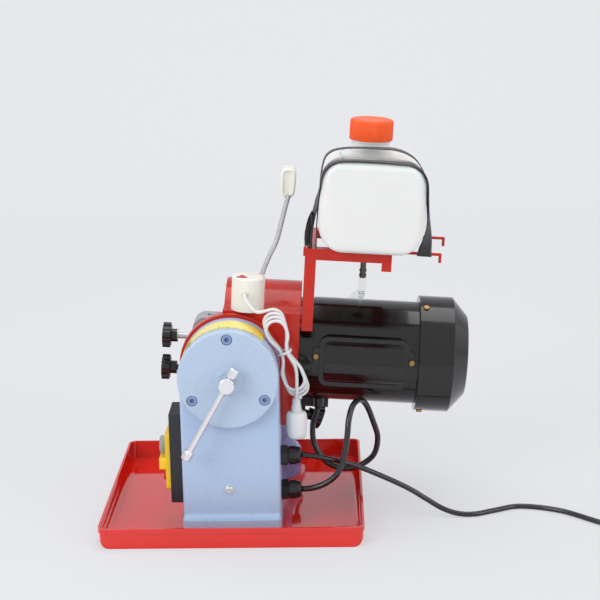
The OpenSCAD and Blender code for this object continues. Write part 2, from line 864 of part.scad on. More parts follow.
module motor_knob() {
    color("#222326") on_head() at_motor_knob() lobe_knob(17, 13, 4, 12);
}

module rotor() {
    color("#b4b7bb") on_head() {
        rod_x(spindle_y, spindle_h, rotor_d / 2, wheel_x - 6, 300);
        rod_x(spindle_y, spindle_h, 35.4, 132, 210);
        rod_x(spindle_y, spindle_h, 14, wheel_x + wheel_t + 4, hood_right - motor_wall - 1);
    }
}

module cooling_fan() {
    color("#3a3b3e") on_head() {
        difference() {
            rod_x(spindle_y, spindle_h, 20, 270, 290);
            rod_x(spindle_y, spindle_h, rotor_d / 2, 260, 300);
        }
        for (a = [0:45:315]) translate([0, spindle_y, spindle_h]) rotate([a, 0, 0]) box(271, -1.5, 19, 289, 1.5, 68);
    }
}

module grinding_wheel() {
    color("#6e6a64") on_head() difference() {
        rod_x(spindle_y, spindle_h, wheel_d / 2, wheel_x, wheel_x + wheel_t);
        rod_x(spindle_y, spindle_h, rotor_d / 2, -30, 20);
        rod_x(spindle_y, spindle_h, 46, wheel_x - 1, wheel_x + 5);
    }
}

module wheel_flanges() {
    color("#8f9296") on_head() {
        difference() {
            rod_x(spindle_y, spindle_h, 25, wheel_x + wheel_t, wheel_x + wheel_t + 4);
            rod_x(spindle_y, spindle_h, rotor_d / 2, -40, 20);
        }
        difference() {
            union() {
                rod_x(spindle_y, spindle_h, 25, wheel_x + 2, wheel_x + 5);
                translate([wheel_x - 4.5, spindle_y, spindle_h]) rotate([0, 90, 0]) cylinder(d = 30 / cos(30), h = 7, $fn = 6);
            }
            rod_x(spindle_y, spindle_h, rotor_d / 2, -40, 20);
        }
    }
}

// -------------------------------------------------------------- bottle

module angle_x(x0, x1, y0, flip) {
    box(x0, y0, arm_top - angle_t, x1, y0 + angle_w, arm_top);
    box(x0, flip ? y0 + angle_w - angle_t : y0, arm_z, x1, flip ? y0 + angle_w : y0 + angle_t, arm_top);
}

module angle_y(x0, y0, y1, flip) {
    box(x0, y0, arm_top - angle_t, x0 + angle_w, y1, arm_top);
    box(flip ? x0 + angle_w - angle_t : x0, y0, arm_z, flip ? x0 + angle_w : x0 + angle_t, y1, arm_top);
}

module hook_rod(y, x0, x1) {
    rod_x(y, hook_z, hook_r, x0, x1);
    for (x = [x0, x1]) {
        translate([x, y, hook_z]) sphere(hook_r);
        rod_z(x, y, hook_r, hook_z - 11, hook_z);
    }
}

module bracket_bolt_spots() {
    for (z = [275, 286]) translate([0, arm_y + 7.5, z]) children();
}

module bottle_bracket() {
    post_x = hood_right + 2;
    color("#c8281e") on_hood() difference() {
        union() {
            box(post_x, arm_y, 268, post_x + angle_w, arm_y + angle_t, arm_top);
            box(post_x, arm_y, 268, post_x + angle_t, arm_y + angle_w, arm_top);
            angle_x(post_x, 206, arm_y, false);
            angle_x(post_x, 206, far_arm_y, true);
            angle_y(post_x, arm_y, far_arm_y + angle_w, false);
            angle_y(206 - angle_w, arm_y, far_arm_y + angle_w, true);
            box(193, arm_y, 355, 206, arm_y + angle_t, arm_top - 1);
            bracket_bolt_spots() rod_x(0, 0, 5, hood_right, post_x + 1);
            hook_rod(hook_y0, post_x - 0.5, 270.5);
            hook_rod(hook_y1, post_x - 0.5, 283);
        }
        bracket_bolt_spots() rod_x(0, 0, 2.5, 70, 120);
    }
    color("#8f9296") on_hood() bracket_bolt_spots() {
        rod_x(0, 0, 2.5, hood_right - 9, hood_right + 6);
        translate([post_x + angle_t, 0, 0]) rotate([0, 90, 0]) cylinder(d = 8 / cos(30), h = 3.5, $fn = 6);
    }
}

module bottle_skin(e) {
    w = bottle_w / 2 - e;
    d = bottle_d / 2 - e;
    intersection() {
        front_block(bottle_x - w, bottle_z0 + e, bottle_x + w, bottle_z1 - e, 28 - e, bottle_y - d, bottle_y + d);
        upright_block(bottle_x - w, bottle_y - d, 300, bottle_x + w, bottle_y + d, 600, 14 - e);
        translate([bottle_x - w, 0, 0]) rotate([90, 0, 90]) linear_extrude(2 * w)
            round_rect(bottle_y - d, bottle_z0 + e, bottle_y + d, bottle_z1 - e, 10 - e);
    }
}

module bottle() {
    color("#eef0ee", 0.8) on_hood() difference() {
        union() {
            bottle_skin(0);
            translate([neck_x, bottle_y, bottle_z1 - 2]) cylinder(r1 = shoulder_r, r2 = neck_r, h = 18);
            rod_z(neck_x, bottle_y, neck_r, bottle_z1, 540);
        }
        bottle_skin(2);
        translate([neck_x, bottle_y, bottle_z1 - 4]) cylinder(r1 = shoulder_r - 2, r2 = neck_r - 2.5, h = 17);
        rod_z(neck_x, bottle_y, neck_r - 2.5, bottle_z1, 550);
        rod_z(tap_x, 6, 6, 370, 390);
    }
}

module bottle_cap() {
    color("#ee5a17") on_hood() difference() {
        union() {
            translate([neck_x, bottle_y, 522]) soft_disc(cap_d / 2, 28, 2);
        }
        rod_z(neck_x, bottle_y, neck_r + 0.4, 510, 540.4);
        rod_z(neck_x, bottle_y, cap_d / 2 - 4, 549, 560);
        for (a = [0:15:345]) translate([neck_x, bottle_y, 0]) rotate([0, 0, a]) translate([cap_d / 2 + 0.6, 0, 520]) cylinder(r = 1.4, h = 28);
    }
}

module strap_band(y0, y1) {
    intersection() {
        difference() {
            bottle_skin(-1.6);
            bottle_skin(0);
        }
        box(90, y0, 430, 270, y1, 520);
        difference() {
            box(90, y0, 430, 270, y1, 520);
            rod_z(neck_x, bottle_y, shoulder_r + 1, 400, 520);
        }
    }
}

module bottle_straps() {
    left = bottle_x - bottle_w / 2;
    right = bottle_x + bottle_w / 2;
    color("#222326") on_hood() {
        strap_band(-76, -52);
        strap_band(-53, -31);
        box(left - 9, -54, arm_top + 0.5, left - 7, -34, 440);
        box(left - 9, -60, 436, left, -34, 442);
        box(right + 6, -54, hook_z + hook_r + 0.1, right + 8, -30, 440);
        box(right, -60, 436, right + 8, -34, 442);
        box(left - 11, -56, 404, left - 6, -32, 426);
    }
}

module water_tap() {
    color("#c9a24f") on_hood() {
        rod_z(tap_x, 6, 6, 356, 384);
        hex_z(tap_x, 6, 17, 370, arm_top);
        hex_z(tap_x, 6, 17, 383, 388);
        rod_z(tap_x, 6, 4, 331, 357);
        rod_z(tap_x, 6, 5, 333, 336);
        rod_z(tap_x, 6, 5, 340, 343);
        rod_y(tap_x, 363, 5, -6, 6);
    }
}

module tap_lever() {
    color("#c9a24f") on_hood() {
        rod_y(tap_x, 363, 5, -12, -6.3);
        box(tap_x, -12, 360.5, tap_x + 22, -9, 365.5);
    }
}

// ---------------------------------------------------------------- lamp

module lamp_base() {
    color("#e8e6d2") on_hood() difference() {
        union() {
            translate([lamp_x, lamp_y, lamp_foot]) soft_disc(lamp_d / 2, lamp_top - lamp_foot, 3);
            rod_y(lamp_x - 4, 316, 4, lamp_y - lamp_d / 2 - 3, lamp_y - 16);
            rod_z(36.5 - 3, lamp_y, 5, 330, 340);
        }
        box(2, lamp_y - 15, 327, 16, lamp_y - 5, 340);
        rod_y(lamp_x - 4, 316, 2.3, lamp_y - lamp_d / 2 - 5, lamp_y - 20);
        rod_z(33.5, lamp_y, 3, 332, 345);
    }
    color("#e8e6d2") on_hood() rod_y(9, 333, 1.5, lamp_y - 15, lamp_y - 5);
}

module lamp_rocker() {
    color("#cf2420") on_hood() difference() {
        rod_y(9, 333, 5.8, lamp_y - 14.6, lamp_y - 5.4);
        rod_y(9, 333, 1.6, lamp_y - 20, lamp_y);
        box(0, -80, 320, 20, 0, 331.2);
    }
}

lamp_route = [[33.5, 0, 332], [36.5, 0, 345], [44, 0, 366], [52.9, 0, 388.8], [60.1, 0, 424], [65.5, 0, 452], [66, -2, 462]];

module lamp_arm() {
    color("#c9cbce") on_hood() translate([0, lamp_y, 0]) cable(smooth_run(lamp_route, 4), 3, [0, 1, 0], 12);
    color("#e8e6d2") on_hood() translate([0, lamp_y, 0]) {
        translate([0, 20, 0]) front_block(53.5, 443, 74, 483, 8, -14, 14);
        rod_y(66, 462, 5, -6, 7);
    }
}

// --------------------------------------------------------------- cords

hank_top = [53, 297];
hank_low = [88, 193];
lamp_lead_route = [[19.8, -68, 319.5], [20, -73, 318.6], [22.5, -82, 313.5], [29, -90, 306.5], [39, -95.5, 301.2]];
mains_route = [[92, -90, 98.5], [108, -88.5, 96], [125, -85.5, 91.5], [159, -77, 80], [198, -70, 61], [236, -67, 41],
    [262, -66, 24], [284, -68.5, 11], [306, -72.5, 5], [329, -71.5, 3.9], [355, -59.5, 3.8], [393, -45, 3.8],
    [445, -62, 3.8], [492, -104, 3.8], [530, -132, 3.8], [569, -139.2, 3.8]];
tail_route = [[617, -189, 10.5], [620.8, -203, 8.6], [625, -216.6, 7.6], [633, -227, 10], [643, -233, 14.3],
    [653, -235, 18.5]];
motor_route = [[92, -90, 49.8], [108, -90.5, 51.6], [126, -92.5, 59.5], [141, -94, 74], [150, -93, 99],
    [154, -91, 124], [156.5, -85, 146], [162, -72, 161], [172, -55, 164], [181.5, -41, 151],
    [190, -30, 126], [197, -20, 96], [189, -12, 66], [160, -7, 48], [129, -2, 53], [109.5, 4, 78],
    [107, 7, 107], [114.4, 8, 133.2]];
coil_at = [570, -189];

module lamp_lead() {
    color("#eeeeec") cable(smooth_run(lamp_lead_route, 3), 2.2, [0, 0, 1], 8);
}

module lamp_hank() {
    run_on = hank_low - hank_top;
    color("#eeeeec") translate([0, -92, axis_h - head_z]) rotate([90, 0, 0]) linear_extrude(12) {
        translate(hank_top) circle(11);
        translate(hank_low) circle(12);
        translate(hank_top) rotate([0, 0, atan2(run_on[1], run_on[0])]) translate([0, -6]) square([norm(run_on), 16]);
    }
}

module lamp_plug() {
    color("#f2f2f0") translate([87, -98, 181 + axis_h - head_z]) rotate([0, 180, 0]) {
        cylinder(r1 = 4.5, r2 = 7, h = 18);
        translate([0, 0, 18]) cylinder(r = 14, h = 24);
        translate([0, 0, 42]) cylinder(r1 = 14, r2 = 9, h = 14);
    }
}

module mains_cord() {
    color("#1d1d1f") {
        cable(smooth_run(mains_route, 2), lead_d / 2, [0, 0, 1], 10);
        cable(smooth_run(tail_route, 2), lead_d / 2, [0, 0, 1], 10);
    }
}

module mains_coil() {
    color("#1d1d1f") translate(coil_at) rotate_extrude() translate([32, 0]) round_rect(0, 0, 22, 15, 3.5);
}

module mains_plug() {
    color("#1d1d1f") {
        translate([653, -235, 18.5]) rotate([0, 90, 0]) cylinder(r1 = 6, r2 = 12, h = 22);
        rod_x(-235, 18.5, 13, 675, 698);
        rod_x(-235, 18.5, 18.5, 698, 720);
    }
    color("#c3c6c9") for (y = [-9.5, 9.5]) rod_x(-235 + y, 18.5, 2.4, 720, 739);
}

module motor_cable() {
    color("#1d1d1f") cable(smooth_run(motor_route, 2), cable_d / 2, [0, 1, 0], 10);
}

tray();
foot_bolts();
column();
end_disc();
disc_screws();
tilt_bearings();
angle_scale();
earth_screw();
switch_box();
switch_plate();
switch_boot();
start_button();
stop_button();
cable_glands();
clamp_screw();
clamp_bar();
clamp_bar_caps();
pillar();
pillar_lock();
carriage_swivel();
carriage_rail();
slider();
slider_knob();
blade_table();
blade_cone();
swivel_disc();
tilt_shaft();
hood();
stop_block();
stop_knob_upper();
stop_knob_lower();
stop_finger();
motor_bells();
motor_shell();
stator();
bearings();
motor_screws();
knob_bracket();
motor_knob();
rotor();
cooling_fan();
grinding_wheel();
wheel_flanges();
fan_cover();
bottle_bracket();
bottle();
bottle_cap();
bottle_straps();
water_tap();
tap_lever();
lamp_base();
lamp_rocker();
lamp_arm();
lamp_lead();
lamp_hank();
lamp_plug();
mains_cord();
mains_coil();
mains_plug();
motor_cable();
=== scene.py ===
# Wet grinding sharpener on its drip tray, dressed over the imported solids.
# Sections follow the order of assembly: tray, column, switch, clamp, carriage, motor, bottle,
# lamp, cords, then the studio. Everything is in metres in the frame of the solids.
import math
import bpy
import bmesh
import numpy as np
from mathutils import Matrix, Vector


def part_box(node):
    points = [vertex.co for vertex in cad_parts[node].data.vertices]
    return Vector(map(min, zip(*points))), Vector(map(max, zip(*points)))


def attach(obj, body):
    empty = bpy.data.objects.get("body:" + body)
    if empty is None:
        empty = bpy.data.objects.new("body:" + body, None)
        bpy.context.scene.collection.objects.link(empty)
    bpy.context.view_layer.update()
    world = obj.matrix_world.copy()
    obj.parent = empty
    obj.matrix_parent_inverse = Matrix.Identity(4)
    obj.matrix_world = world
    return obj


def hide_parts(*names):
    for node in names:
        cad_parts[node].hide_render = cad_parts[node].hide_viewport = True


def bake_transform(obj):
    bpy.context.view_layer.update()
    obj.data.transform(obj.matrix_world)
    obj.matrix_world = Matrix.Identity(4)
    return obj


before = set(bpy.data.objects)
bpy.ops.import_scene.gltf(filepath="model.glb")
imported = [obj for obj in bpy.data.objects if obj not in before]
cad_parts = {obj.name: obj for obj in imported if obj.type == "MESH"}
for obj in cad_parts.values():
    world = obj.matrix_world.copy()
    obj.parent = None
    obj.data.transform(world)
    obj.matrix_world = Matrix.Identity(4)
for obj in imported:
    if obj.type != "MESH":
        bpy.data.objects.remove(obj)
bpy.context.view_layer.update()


# ------------------------------------------------------------------ tray
# Folded sheet steel tray with welded corners and a welded pad, sprayed and stoved in
# bright red enamel. The hood, the swivel disc, the bottle's bracket and the pillar's lever are
# enamelled a little darker.
def linear(code):
    """sRGB hex to linear light: c / 12.92 below 0.04045, else ((c + 0.055) / 1.055) ** 2.4."""
    c = np.array([int(code[i:i + 2], 16) for i in (1, 3, 5)]) / 255.0
    c = np.where(c <= 0.04045, c / 12.92, ((c + 0.055) / 1.055) ** 2.4)
    return (*c.tolist(), 1.0)


def add(tree, kind, inputs=None, **settings):
    """Adds one node, sets its options, then its sockets: an output is linked, a value is written."""
    n = tree.nodes.new("ShaderNode" + kind)
    for key, value in settings.items():
        setattr(n, key, value)
    for key, value in (inputs or {}).items():
        if isinstance(value, bpy.types.NodeSocket):
            tree.links.new(value, n.inputs[key])
        else:
            n.inputs[key].default_value = value
    return n


def blank(name):
    """A new material and its emptied node tree."""
    m = bpy.data.materials.new(name)
    m.use_nodes = True
    m.node_tree.nodes.clear()
    return m, m.node_tree


def surface(name, colour, rough, grain, depth, tone=0.08, soft=0.0008, edge_wear_and_sheen=None, edge_blend=0.5, **shader):
    """One finish on a Principled shader. Its colour drifts by tone over 50 mm patches, its
    roughness over 12 mm patches, and its bump is noise with waves of grain metres and a height of
    depth metres, on edges rounded by soft metres. The edges pale towards edge_wear_and_sheen by
    edge_blend, which stands for wear and for a painted highlight along the rounded edges."""
    m, t = blank(name)
    place = add(t, "TexCoord").outputs["Object"]
    patch = add(t, "TexNoise", {"Vector": place, "Scale": 20.0, "Detail": 4.0})
    small = add(t, "TexNoise", {"Vector": place, "Scale": 85.0, "Detail": 3.0})
    base = linear(colour)
    dark = tuple(c * (1 - tone) for c in base[:3]) + (1.0,)
    pale = tuple(min(1.0, c * (1 + tone)) for c in base[:3]) + (1.0,)
    drift = add(t, "Mix", {0: patch.outputs["Fac"], 6: dark, 7: pale}, data_type="RGBA")
    matt = add(t, "MapRange", {"Value": small.outputs["Fac"], "From Min": 0.3, "From Max": 0.7,
                               "To Min": rough * 0.85, "To Max": min(1.0, rough * 1.2)})
    round_off = add(t, "Bevel", {"Radius": soft}, samples=4)
    peel = add(t, "TexNoise", {"Vector": place, "Scale": 1.0 / grain, "Detail": 2.0})
    bump = add(t, "Bump", {"Height": peel.outputs["Fac"], "Distance": depth, "Strength": 1.0,
                           "Normal": round_off.outputs["Normal"]})
    colour_out = drift.outputs[2]
    # rounded edges are mixed towards a paler colour: partly wear, partly a painted highlight
    if edge_wear_and_sheen:
        flat = add(t, "NewGeometry").outputs["Normal"]
        turn = add(t, "VectorMath", {0: flat, 1: round_off.outputs["Normal"]}, operation="DOT_PRODUCT")
        ragged = add(t, "Math", {0: small.outputs["Fac"], 1: 0.3, 2: turn.outputs["Value"]},
                     operation="MULTIPLY_ADD")
        wear_and_sheen_fac = add(t, "MapRange", {"Value": ragged.outputs[0], "From Min": 0.93, "From Max": 1.06,
                                  "To Min": edge_blend, "To Max": 0.0})
        colour_out = add(t, "Mix", {0: wear_and_sheen_fac.outputs[0], 6: drift.outputs[2], 7: linear(edge_wear_and_sheen)},
                         data_type="RGBA").outputs[2]
    p = add(t, "BsdfPrincipled", {"Base Color": colour_out, "Roughness": matt.outputs[0],
                                  "Normal": bump.outputs["Normal"]})
    for key, value in shader.items():
        p.inputs[key.replace("_", " ")].default_value = value
    add(t, "OutputMaterial", {"Surface": p.outputs[0]})
    return m


def dress(finish, *nodes):
    """Puts a finish on every slot of these solids."""
    for name in nodes:
        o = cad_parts[name]
        if not o.material_slots:
            o.data.materials.append(finish)
        for s in o.material_slots:
            s.material = finish


# stoved enamel: gloss with peel waves of 3 to 4 mm, deepest on the tray, edges a little paler as a painted
# highlight
red_enamel = surface("red_enamel", "#bd2410", 0.16, 0.003, 0.00003, tone=0.04, soft=0.0012,
                     edge_wear_and_sheen="#e2594a", edge_blend=0.35, Specular_IOR_Level=0.35, Coat_Weight=0.1, Coat_Roughness=0.05)
tray_enamel = surface("tray_enamel", "#db1d08", 0.1, 0.004, 0.00004, tone=0.05, soft=0.0012,
                      edge_wear_and_sheen="#e2594a", edge_blend=0.4, Specular_IOR_Level=0.25, Coat_Weight=1.0,
                      Coat_Roughness=0.02, Coat_IOR=1.55)
dress(tray_enamel, "tray")
dress(red_enamel, "swivel_disc", "hood", "bottle_bracket", "pillar_lock")

# zinc plated steel: rolled and tumbled, so a soft grey sheen
zinc = surface("zinc_steel", "#dcdddf", 0.3, 0.0012, 0.00001, tone=0.12, soft=0.0004, Metallic=1.0)
dress(zinc, "foot_bolts", "earth_screw")

# ---------------------------------------------------------------- column
# Grey iron castings, linished and sprayed light blue: the column with its drum, the end disc,
# the pillar and the carriage swivel. The tilt scale is a yellow printed strip on the drum.

# sprayed two-pack paint over cast iron: satin, with the casting's 8 mm ripple under it, edges a little paler
# as a painted highlight
blue_paint = surface("blue_paint", "#a9bfdb", 0.3, 0.008, 0.00003, tone=0.02, soft=0.0016,
                     edge_wear_and_sheen="#cddaec", edge_blend=0.5, Coat_Weight=0.2, Coat_Roughness=0.2)
disc_paint = surface("disc_paint", "#afc2d8", 0.28, 0.008, 0.00002, tone=0.015, soft=0.0014,
                     edge_wear_and_sheen="#d3dfef", edge_blend=0.5, Coat_Weight=0.25, Coat_Roughness=0.18)
dress(blue_paint, "column")
# the pillar and the swivel take a deeper violet blue, which is painted shade on the same light blue paint
dress(surface("pillar_painted_shade", "#7f89c4", 0.28, 0.005, 0.00008, tone=0.05, soft=0.0014, Coat_Weight=0.3,
              Coat_Roughness=0.15), "pillar", "carriage_swivel")
dress(disc_paint, "end_disc")
# blued socket screws sprayed over with the disc
dress(surface("painted_screw", "#7f97bd", 0.35, 0.002, 0.00003, soft=0.0004), "disc_screws")
dress(surface("bronze_bush", "#a5753f", 0.3, 0.001, 0.00001, Metallic=1.0), "tilt_bearings")


# the axis that the head tilts about runs along y at this height
tilt_axis_z = 0.22


def printed_scale():
    """Yellow strip with a black line every 2 degrees and a longer, wider one every 10. The angle is
    atan2(x, z - tilt_axis_z), and a line shows within half of a whole step, up to reach from the
    strip's near edge."""
    m, t = blank("printed_scale")
    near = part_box("angle_scale")[0].y
    p = add(t, "SeparateXYZ", {0: add(t, "TexCoord").outputs["Object"]})
    up = add(t, "Math", {0: p.outputs["Z"], 1: tilt_axis_z}, operation="SUBTRACT")
    turn = add(t, "Math", {0: p.outputs["X"], 1: up.outputs[0]}, operation="ARCTAN2")
    in_degrees = add(t, "Math", {0: turn.outputs[0], 1: 180 / math.pi}, operation="MULTIPLY")
    back = add(t, "Math", {0: p.outputs["Y"], 1: near}, operation="SUBTRACT")
    ink = None
    for step, half, reach in ((2.0, 0.22, 0.0035), (10.0, 0.35, 0.0065)):
        off = add(t, "Math", {0: in_degrees.outputs[0], 1: step / 2}, operation="PINGPONG")
        line = add(t, "Math", {0: off.outputs[0], 1: half}, operation="LESS_THAN")
        short = add(t, "Math", {0: back.outputs[0], 1: reach}, operation="LESS_THAN")
        mark = add(t, "Math", {0: line.outputs[0], 1: short.outputs[0]}, operation="MULTIPLY")
        ink = mark if ink is None else add(t, "Math", {0: ink.outputs[0], 1: mark.outputs[0]},
                                           operation="MAXIMUM")
    shade = add(t, "Mix", {0: ink.outputs[0], 6: linear("#f5e667"), 7: linear("#1a1a18")},
                data_type="RGBA")
    b = add(t, "BsdfPrincipled", {"Base Color": shade.outputs[2], "Roughness": 0.22,
                                  "Coat Weight": 0.6, "Coat Roughness": 0.12})
    add(t, "OutputMaterial", {"Surface": b.outputs[0]})
    return m


dress(printed_scale(), "angle_scale")

# ---------------------------------------------------------------- switch
# Moulded switch unit on the column's left: black ABS back box, yellow front with a flap,
# green start button under a clear boot, red stop button. Cord glands are black nylon.

# moulded ABS: fine spark-eroded texture, semi-matt
black_abs = surface("black_abs", "#26272a", 0.42, 0.0009, 0.00002, tone=0.1, soft=0.0008,
                    edge_wear_and_sheen="#4a4b4e", edge_blend=0.4)
yellow_abs = surface("yellow_abs", "#fdd020", 0.33, 0.0012, 0.00002, tone=0.04, soft=0.001)
dress(black_abs, "switch_box")
dress(yellow_abs, "switch_plate")
dress(surface("green_pp", "#2c9a4c", 0.35, 0.001, 0.00001), "start_button")
dress(surface("red_pp", "#c9201c", 0.3, 0.001, 0.00001), "stop_button")
dress(surface("clear_silicone", "#dfe5e0", 0.3, 0.002, 0.00003, Transmission_Weight=0.75, IOR=1.41),
      "switch_boot")
nylon = surface("black_nylon", "#1c1d1f", 0.36, 0.0009, 0.00002, tone=0.12, soft=0.0005,
                edge_wear_and_sheen="#55565a", edge_blend=0.35)
dress(nylon, "cable_glands")

# ----------------------------------------------------------------- clamp
# Turned steel clamp screw with a sliding bar and two pressed caps, chrome plated as the tilt
# shaft is.
chrome = surface("bright_chrome", "#f0f0f1", 0.12, 0.003, 0.00001, tone=0.04, soft=0.0005, Metallic=1.0)
dress(chrome, "clamp_screw", "clamp_bar", "clamp_bar_caps", "tilt_shaft")

# -------------------------------------------------------------- carriage
# Milled steel rail and slider on the pillar; the saw blade sits on the turned table and cone.
# The other bare steel, the stop block and the star knobs are finished here too.

# milled and ground steel: fine directionless grain, thin film of oil
ground_steel = surface("ground_steel", "#9fa2a6", 0.28, 0.0006, 0.00001, tone=0.15, soft=0.0005,
                       edge_wear_and_sheen="#c8cbce", Metallic=1.0)
dress(ground_steel, "carriage_rail", "blade_table", "blade_cone", "stop_finger", "rotor", "wheel_flanges",
      "bearings")
dress(surface("black_oxide", "#1f2022", 0.38, 0.001, 0.00001, tone=0.2, soft=0.0008,
              edge_wear_and_sheen="#5d5f63", edge_blend=0.6), "slider", "knob_bracket")
# diecast aluminium, left bare
dress(surface("bare_casting", "#b9bcc0", 0.42, 0.0012, 0.00004, tone=0.1, soft=0.0014, Metallic=0.6),
      "stop_block")
# phenolic star knobs: moulded, polished, slightly brown in the highlights
phenolic = surface("phenolic", "#191716", 0.22, 0.004, 0.00002, soft=0.001, edge_wear_and_sheen="#3a3634", edge_blend=0.4)
dress(phenolic, "slider_knob", "motor_knob")


def knob_and_stud(knob_end_x):
    """The phenolic of the knobs up to x = knob_end_x, and a zinc plated stud beyond it."""
    m = phenolic.copy()
    m.name = "phenolic_and_stud"
    t = m.node_tree
    place = add(t, "SeparateXYZ", {0: add(t, "TexCoord").outputs["Object"]})
    steel = add(t, "BsdfPrincipled", {"Base Color": linear("#c6c8cb"), "Roughness": 0.3, "Metallic": 1.0})
    bare = add(t, "Math", {0: place.outputs["X"], 1: knob_end_x}, operation="GREATER_THAN")
    moulded = next(n for n in t.nodes if n.type == "BSDF_PRINCIPLED" and n != steel)
    both = add(t, "MixShader", {0: bare.outputs[0], 1: moulded.outputs[0], 2: steel.outputs[0]})
    t.links.new(both.outputs[0], next(n for n in t.nodes if n.type == "OUTPUT_MATERIAL").inputs[0])
    return m


dress(knob_and_stud(-0.0785), "stop_knob_upper", "stop_knob_lower")

# ----------------------------------------------------------------- motor
# Aluminium bells and a rolled steel shell, sprayed gloss black; pressed steel fan cover. Brass
# screws hold them. The water tap is finished here too.

# sprayed gloss black over rolled sheet: long soft waves, dust in the top coat
black_gloss = surface("motor_black", "#0f0e0d", 0.16, 0.01, 0.00003, tone=0.1, soft=0.0012,
                      edge_wear_and_sheen="#3c3632", edge_blend=0.5, Specular_IOR_Level=0.4, Coat_Weight=0.35, Coat_Roughness=0.04)
dress(black_gloss, "motor_shell", "motor_bells", "fan_cover")
dress(surface("lamination", "#6a6460", 0.5, 0.0005, 0.00002, Metallic=1.0), "stator")
dress(surface("fan_nylon", "#2a2a2c", 0.5, 0.001, 0.00002), "cooling_fan")
dress(surface("diamond_grit", "#4b463f", 0.8, 0.0006, 0.0002, tone=0.35), "grinding_wheel")
dress(surface("turned_brass", "#a98a52", 0.34, 0.0008, 0.00001, tone=0.12, soft=0.0004, Metallic=1.0),
      "motor_screws")
# the tap is turned brass under dull nickel
dress(surface("dull_nickel", "#5f5b54", 0.32, 0.001, 0.00001, tone=0.15, soft=0.0004, Metallic=1.0),
      "water_tap", "tap_lever")

# ---------------------------------------------------------------- bottle
# Blow-moulded natural HDPE bottle with a ribbed orange polypropylene cap, held down on the
# bracket by two straps of black polypropylene webbing and a ladder buckle.

# the head rests tilted down to the right by this much
head_tilt = math.radians(3.8)


def on_head(p):
    """Points of the level head, turned by head_tilt about the tilt axis."""
    p = np.asarray(p, float)
    c, k = math.cos(head_tilt), math.sin(head_tilt)
    x, y, z = p[..., 0], p[..., 1], p[..., 2] - tilt_axis_z
    return np.stack([x * c + z * k, y, tilt_axis_z - x * k + z * c], -1)


def quads_of(p):
    """The corner numbers of each quad of a grid p[i, j]."""
    n, k = p.shape[:2]
    i = np.arange(n * k).reshape(n, k)
    return np.stack([i[:-1, :-1], i[1:, :-1], i[1:, 1:], i[:-1, 1:]], -1).reshape(-1, 4)


def skin(name, p, finish, body, uv=None):
    """A smooth mesh of the quads of a grid p[i, j] that rides on body, or on nothing when no body
    is given. Points that coincide are merged, which closes seams and poles, and the faces are
    turned outwards."""
    quads = quads_of(p)
    me = bpy.data.meshes.new(name)
    me.from_pydata(p.reshape(-1, 3).tolist(), [], quads.tolist())
    if uv is not None:
        layer = me.uv_layers.new(name="along")
        layer.data.foreach_set("uv", uv.reshape(-1, 2)[quads.ravel()].astype(np.float32).ravel())
    bm = bmesh.new()
    bm.from_mesh(me)
    bmesh.ops.remove_doubles(bm, verts=bm.verts, dist=1e-6)
    bmesh.ops.dissolve_degenerate(bm, edges=bm.edges, dist=1e-7)
    bmesh.ops.recalc_face_normals(bm, faces=bm.faces)
    bm.to_mesh(me)
    bm.free()
    me.polygons.foreach_set("use_smooth", np.ones(len(me.polygons), bool))
    me.materials.append(finish)
    o = bpy.data.objects.new(name, me)
    bpy.context.scene.collection.objects.link(o)
    if body:
        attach(o, body)
    return o


def rounded(w, d, r, a):
    """Points of a rectangle of half sizes w and d with corners of radius r, at the parameters a
    in turns: four straight runs and four quarter circles, met at equal steps of length."""
    w, d, r = np.broadcast_arrays(np.asarray(w, float), np.asarray(d, float), np.asarray(r, float))
    r = np.minimum(np.minimum(w, d), r)
    q = np.abs(((np.asarray(a) + 0.25) % 0.5) - 0.25) * 4
    runs = (d - r) + (w - r) + r * math.pi / 2
    s = q * runs
    corner = np.clip((s - (d - r)) / np.maximum(r, 1e-9), 0, math.pi / 2)
    x = np.where(s < d - r, w, np.where(s < d - r + r * math.pi / 2, w - r + r * np.cos(corner),
                                        w - r - (s - (d - r) - r * math.pi / 2)))
    y = np.where(s < d - r, s, d - r + r * np.sin(corner))
    turn = np.asarray(a) % 1.0
    x = np.where((turn > 0.25) & (turn < 0.75), -x, x)
    y = np.where(turn > 0.5, -y, y)
    return x, y


bottle_mid = np.array([0.176, -0.002])
bottle_base_z = 0.381
bottle_h = 0.119
half_w, half_d = 0.069, 0.077
foot_r, top_r = 0.034, 0.028
side_r, plan_r = 0.010, 0.014
neck_mid = np.array([0.1705, -0.002])


def inset(radius, near):
    """How far a corner of radius r stands in at near from the end: r - sqrt(r ** 2 - (r - near) ** 2)."""
    return radius - np.sqrt(radius ** 2 - np.clip(radius - near, 0, radius) ** 2)


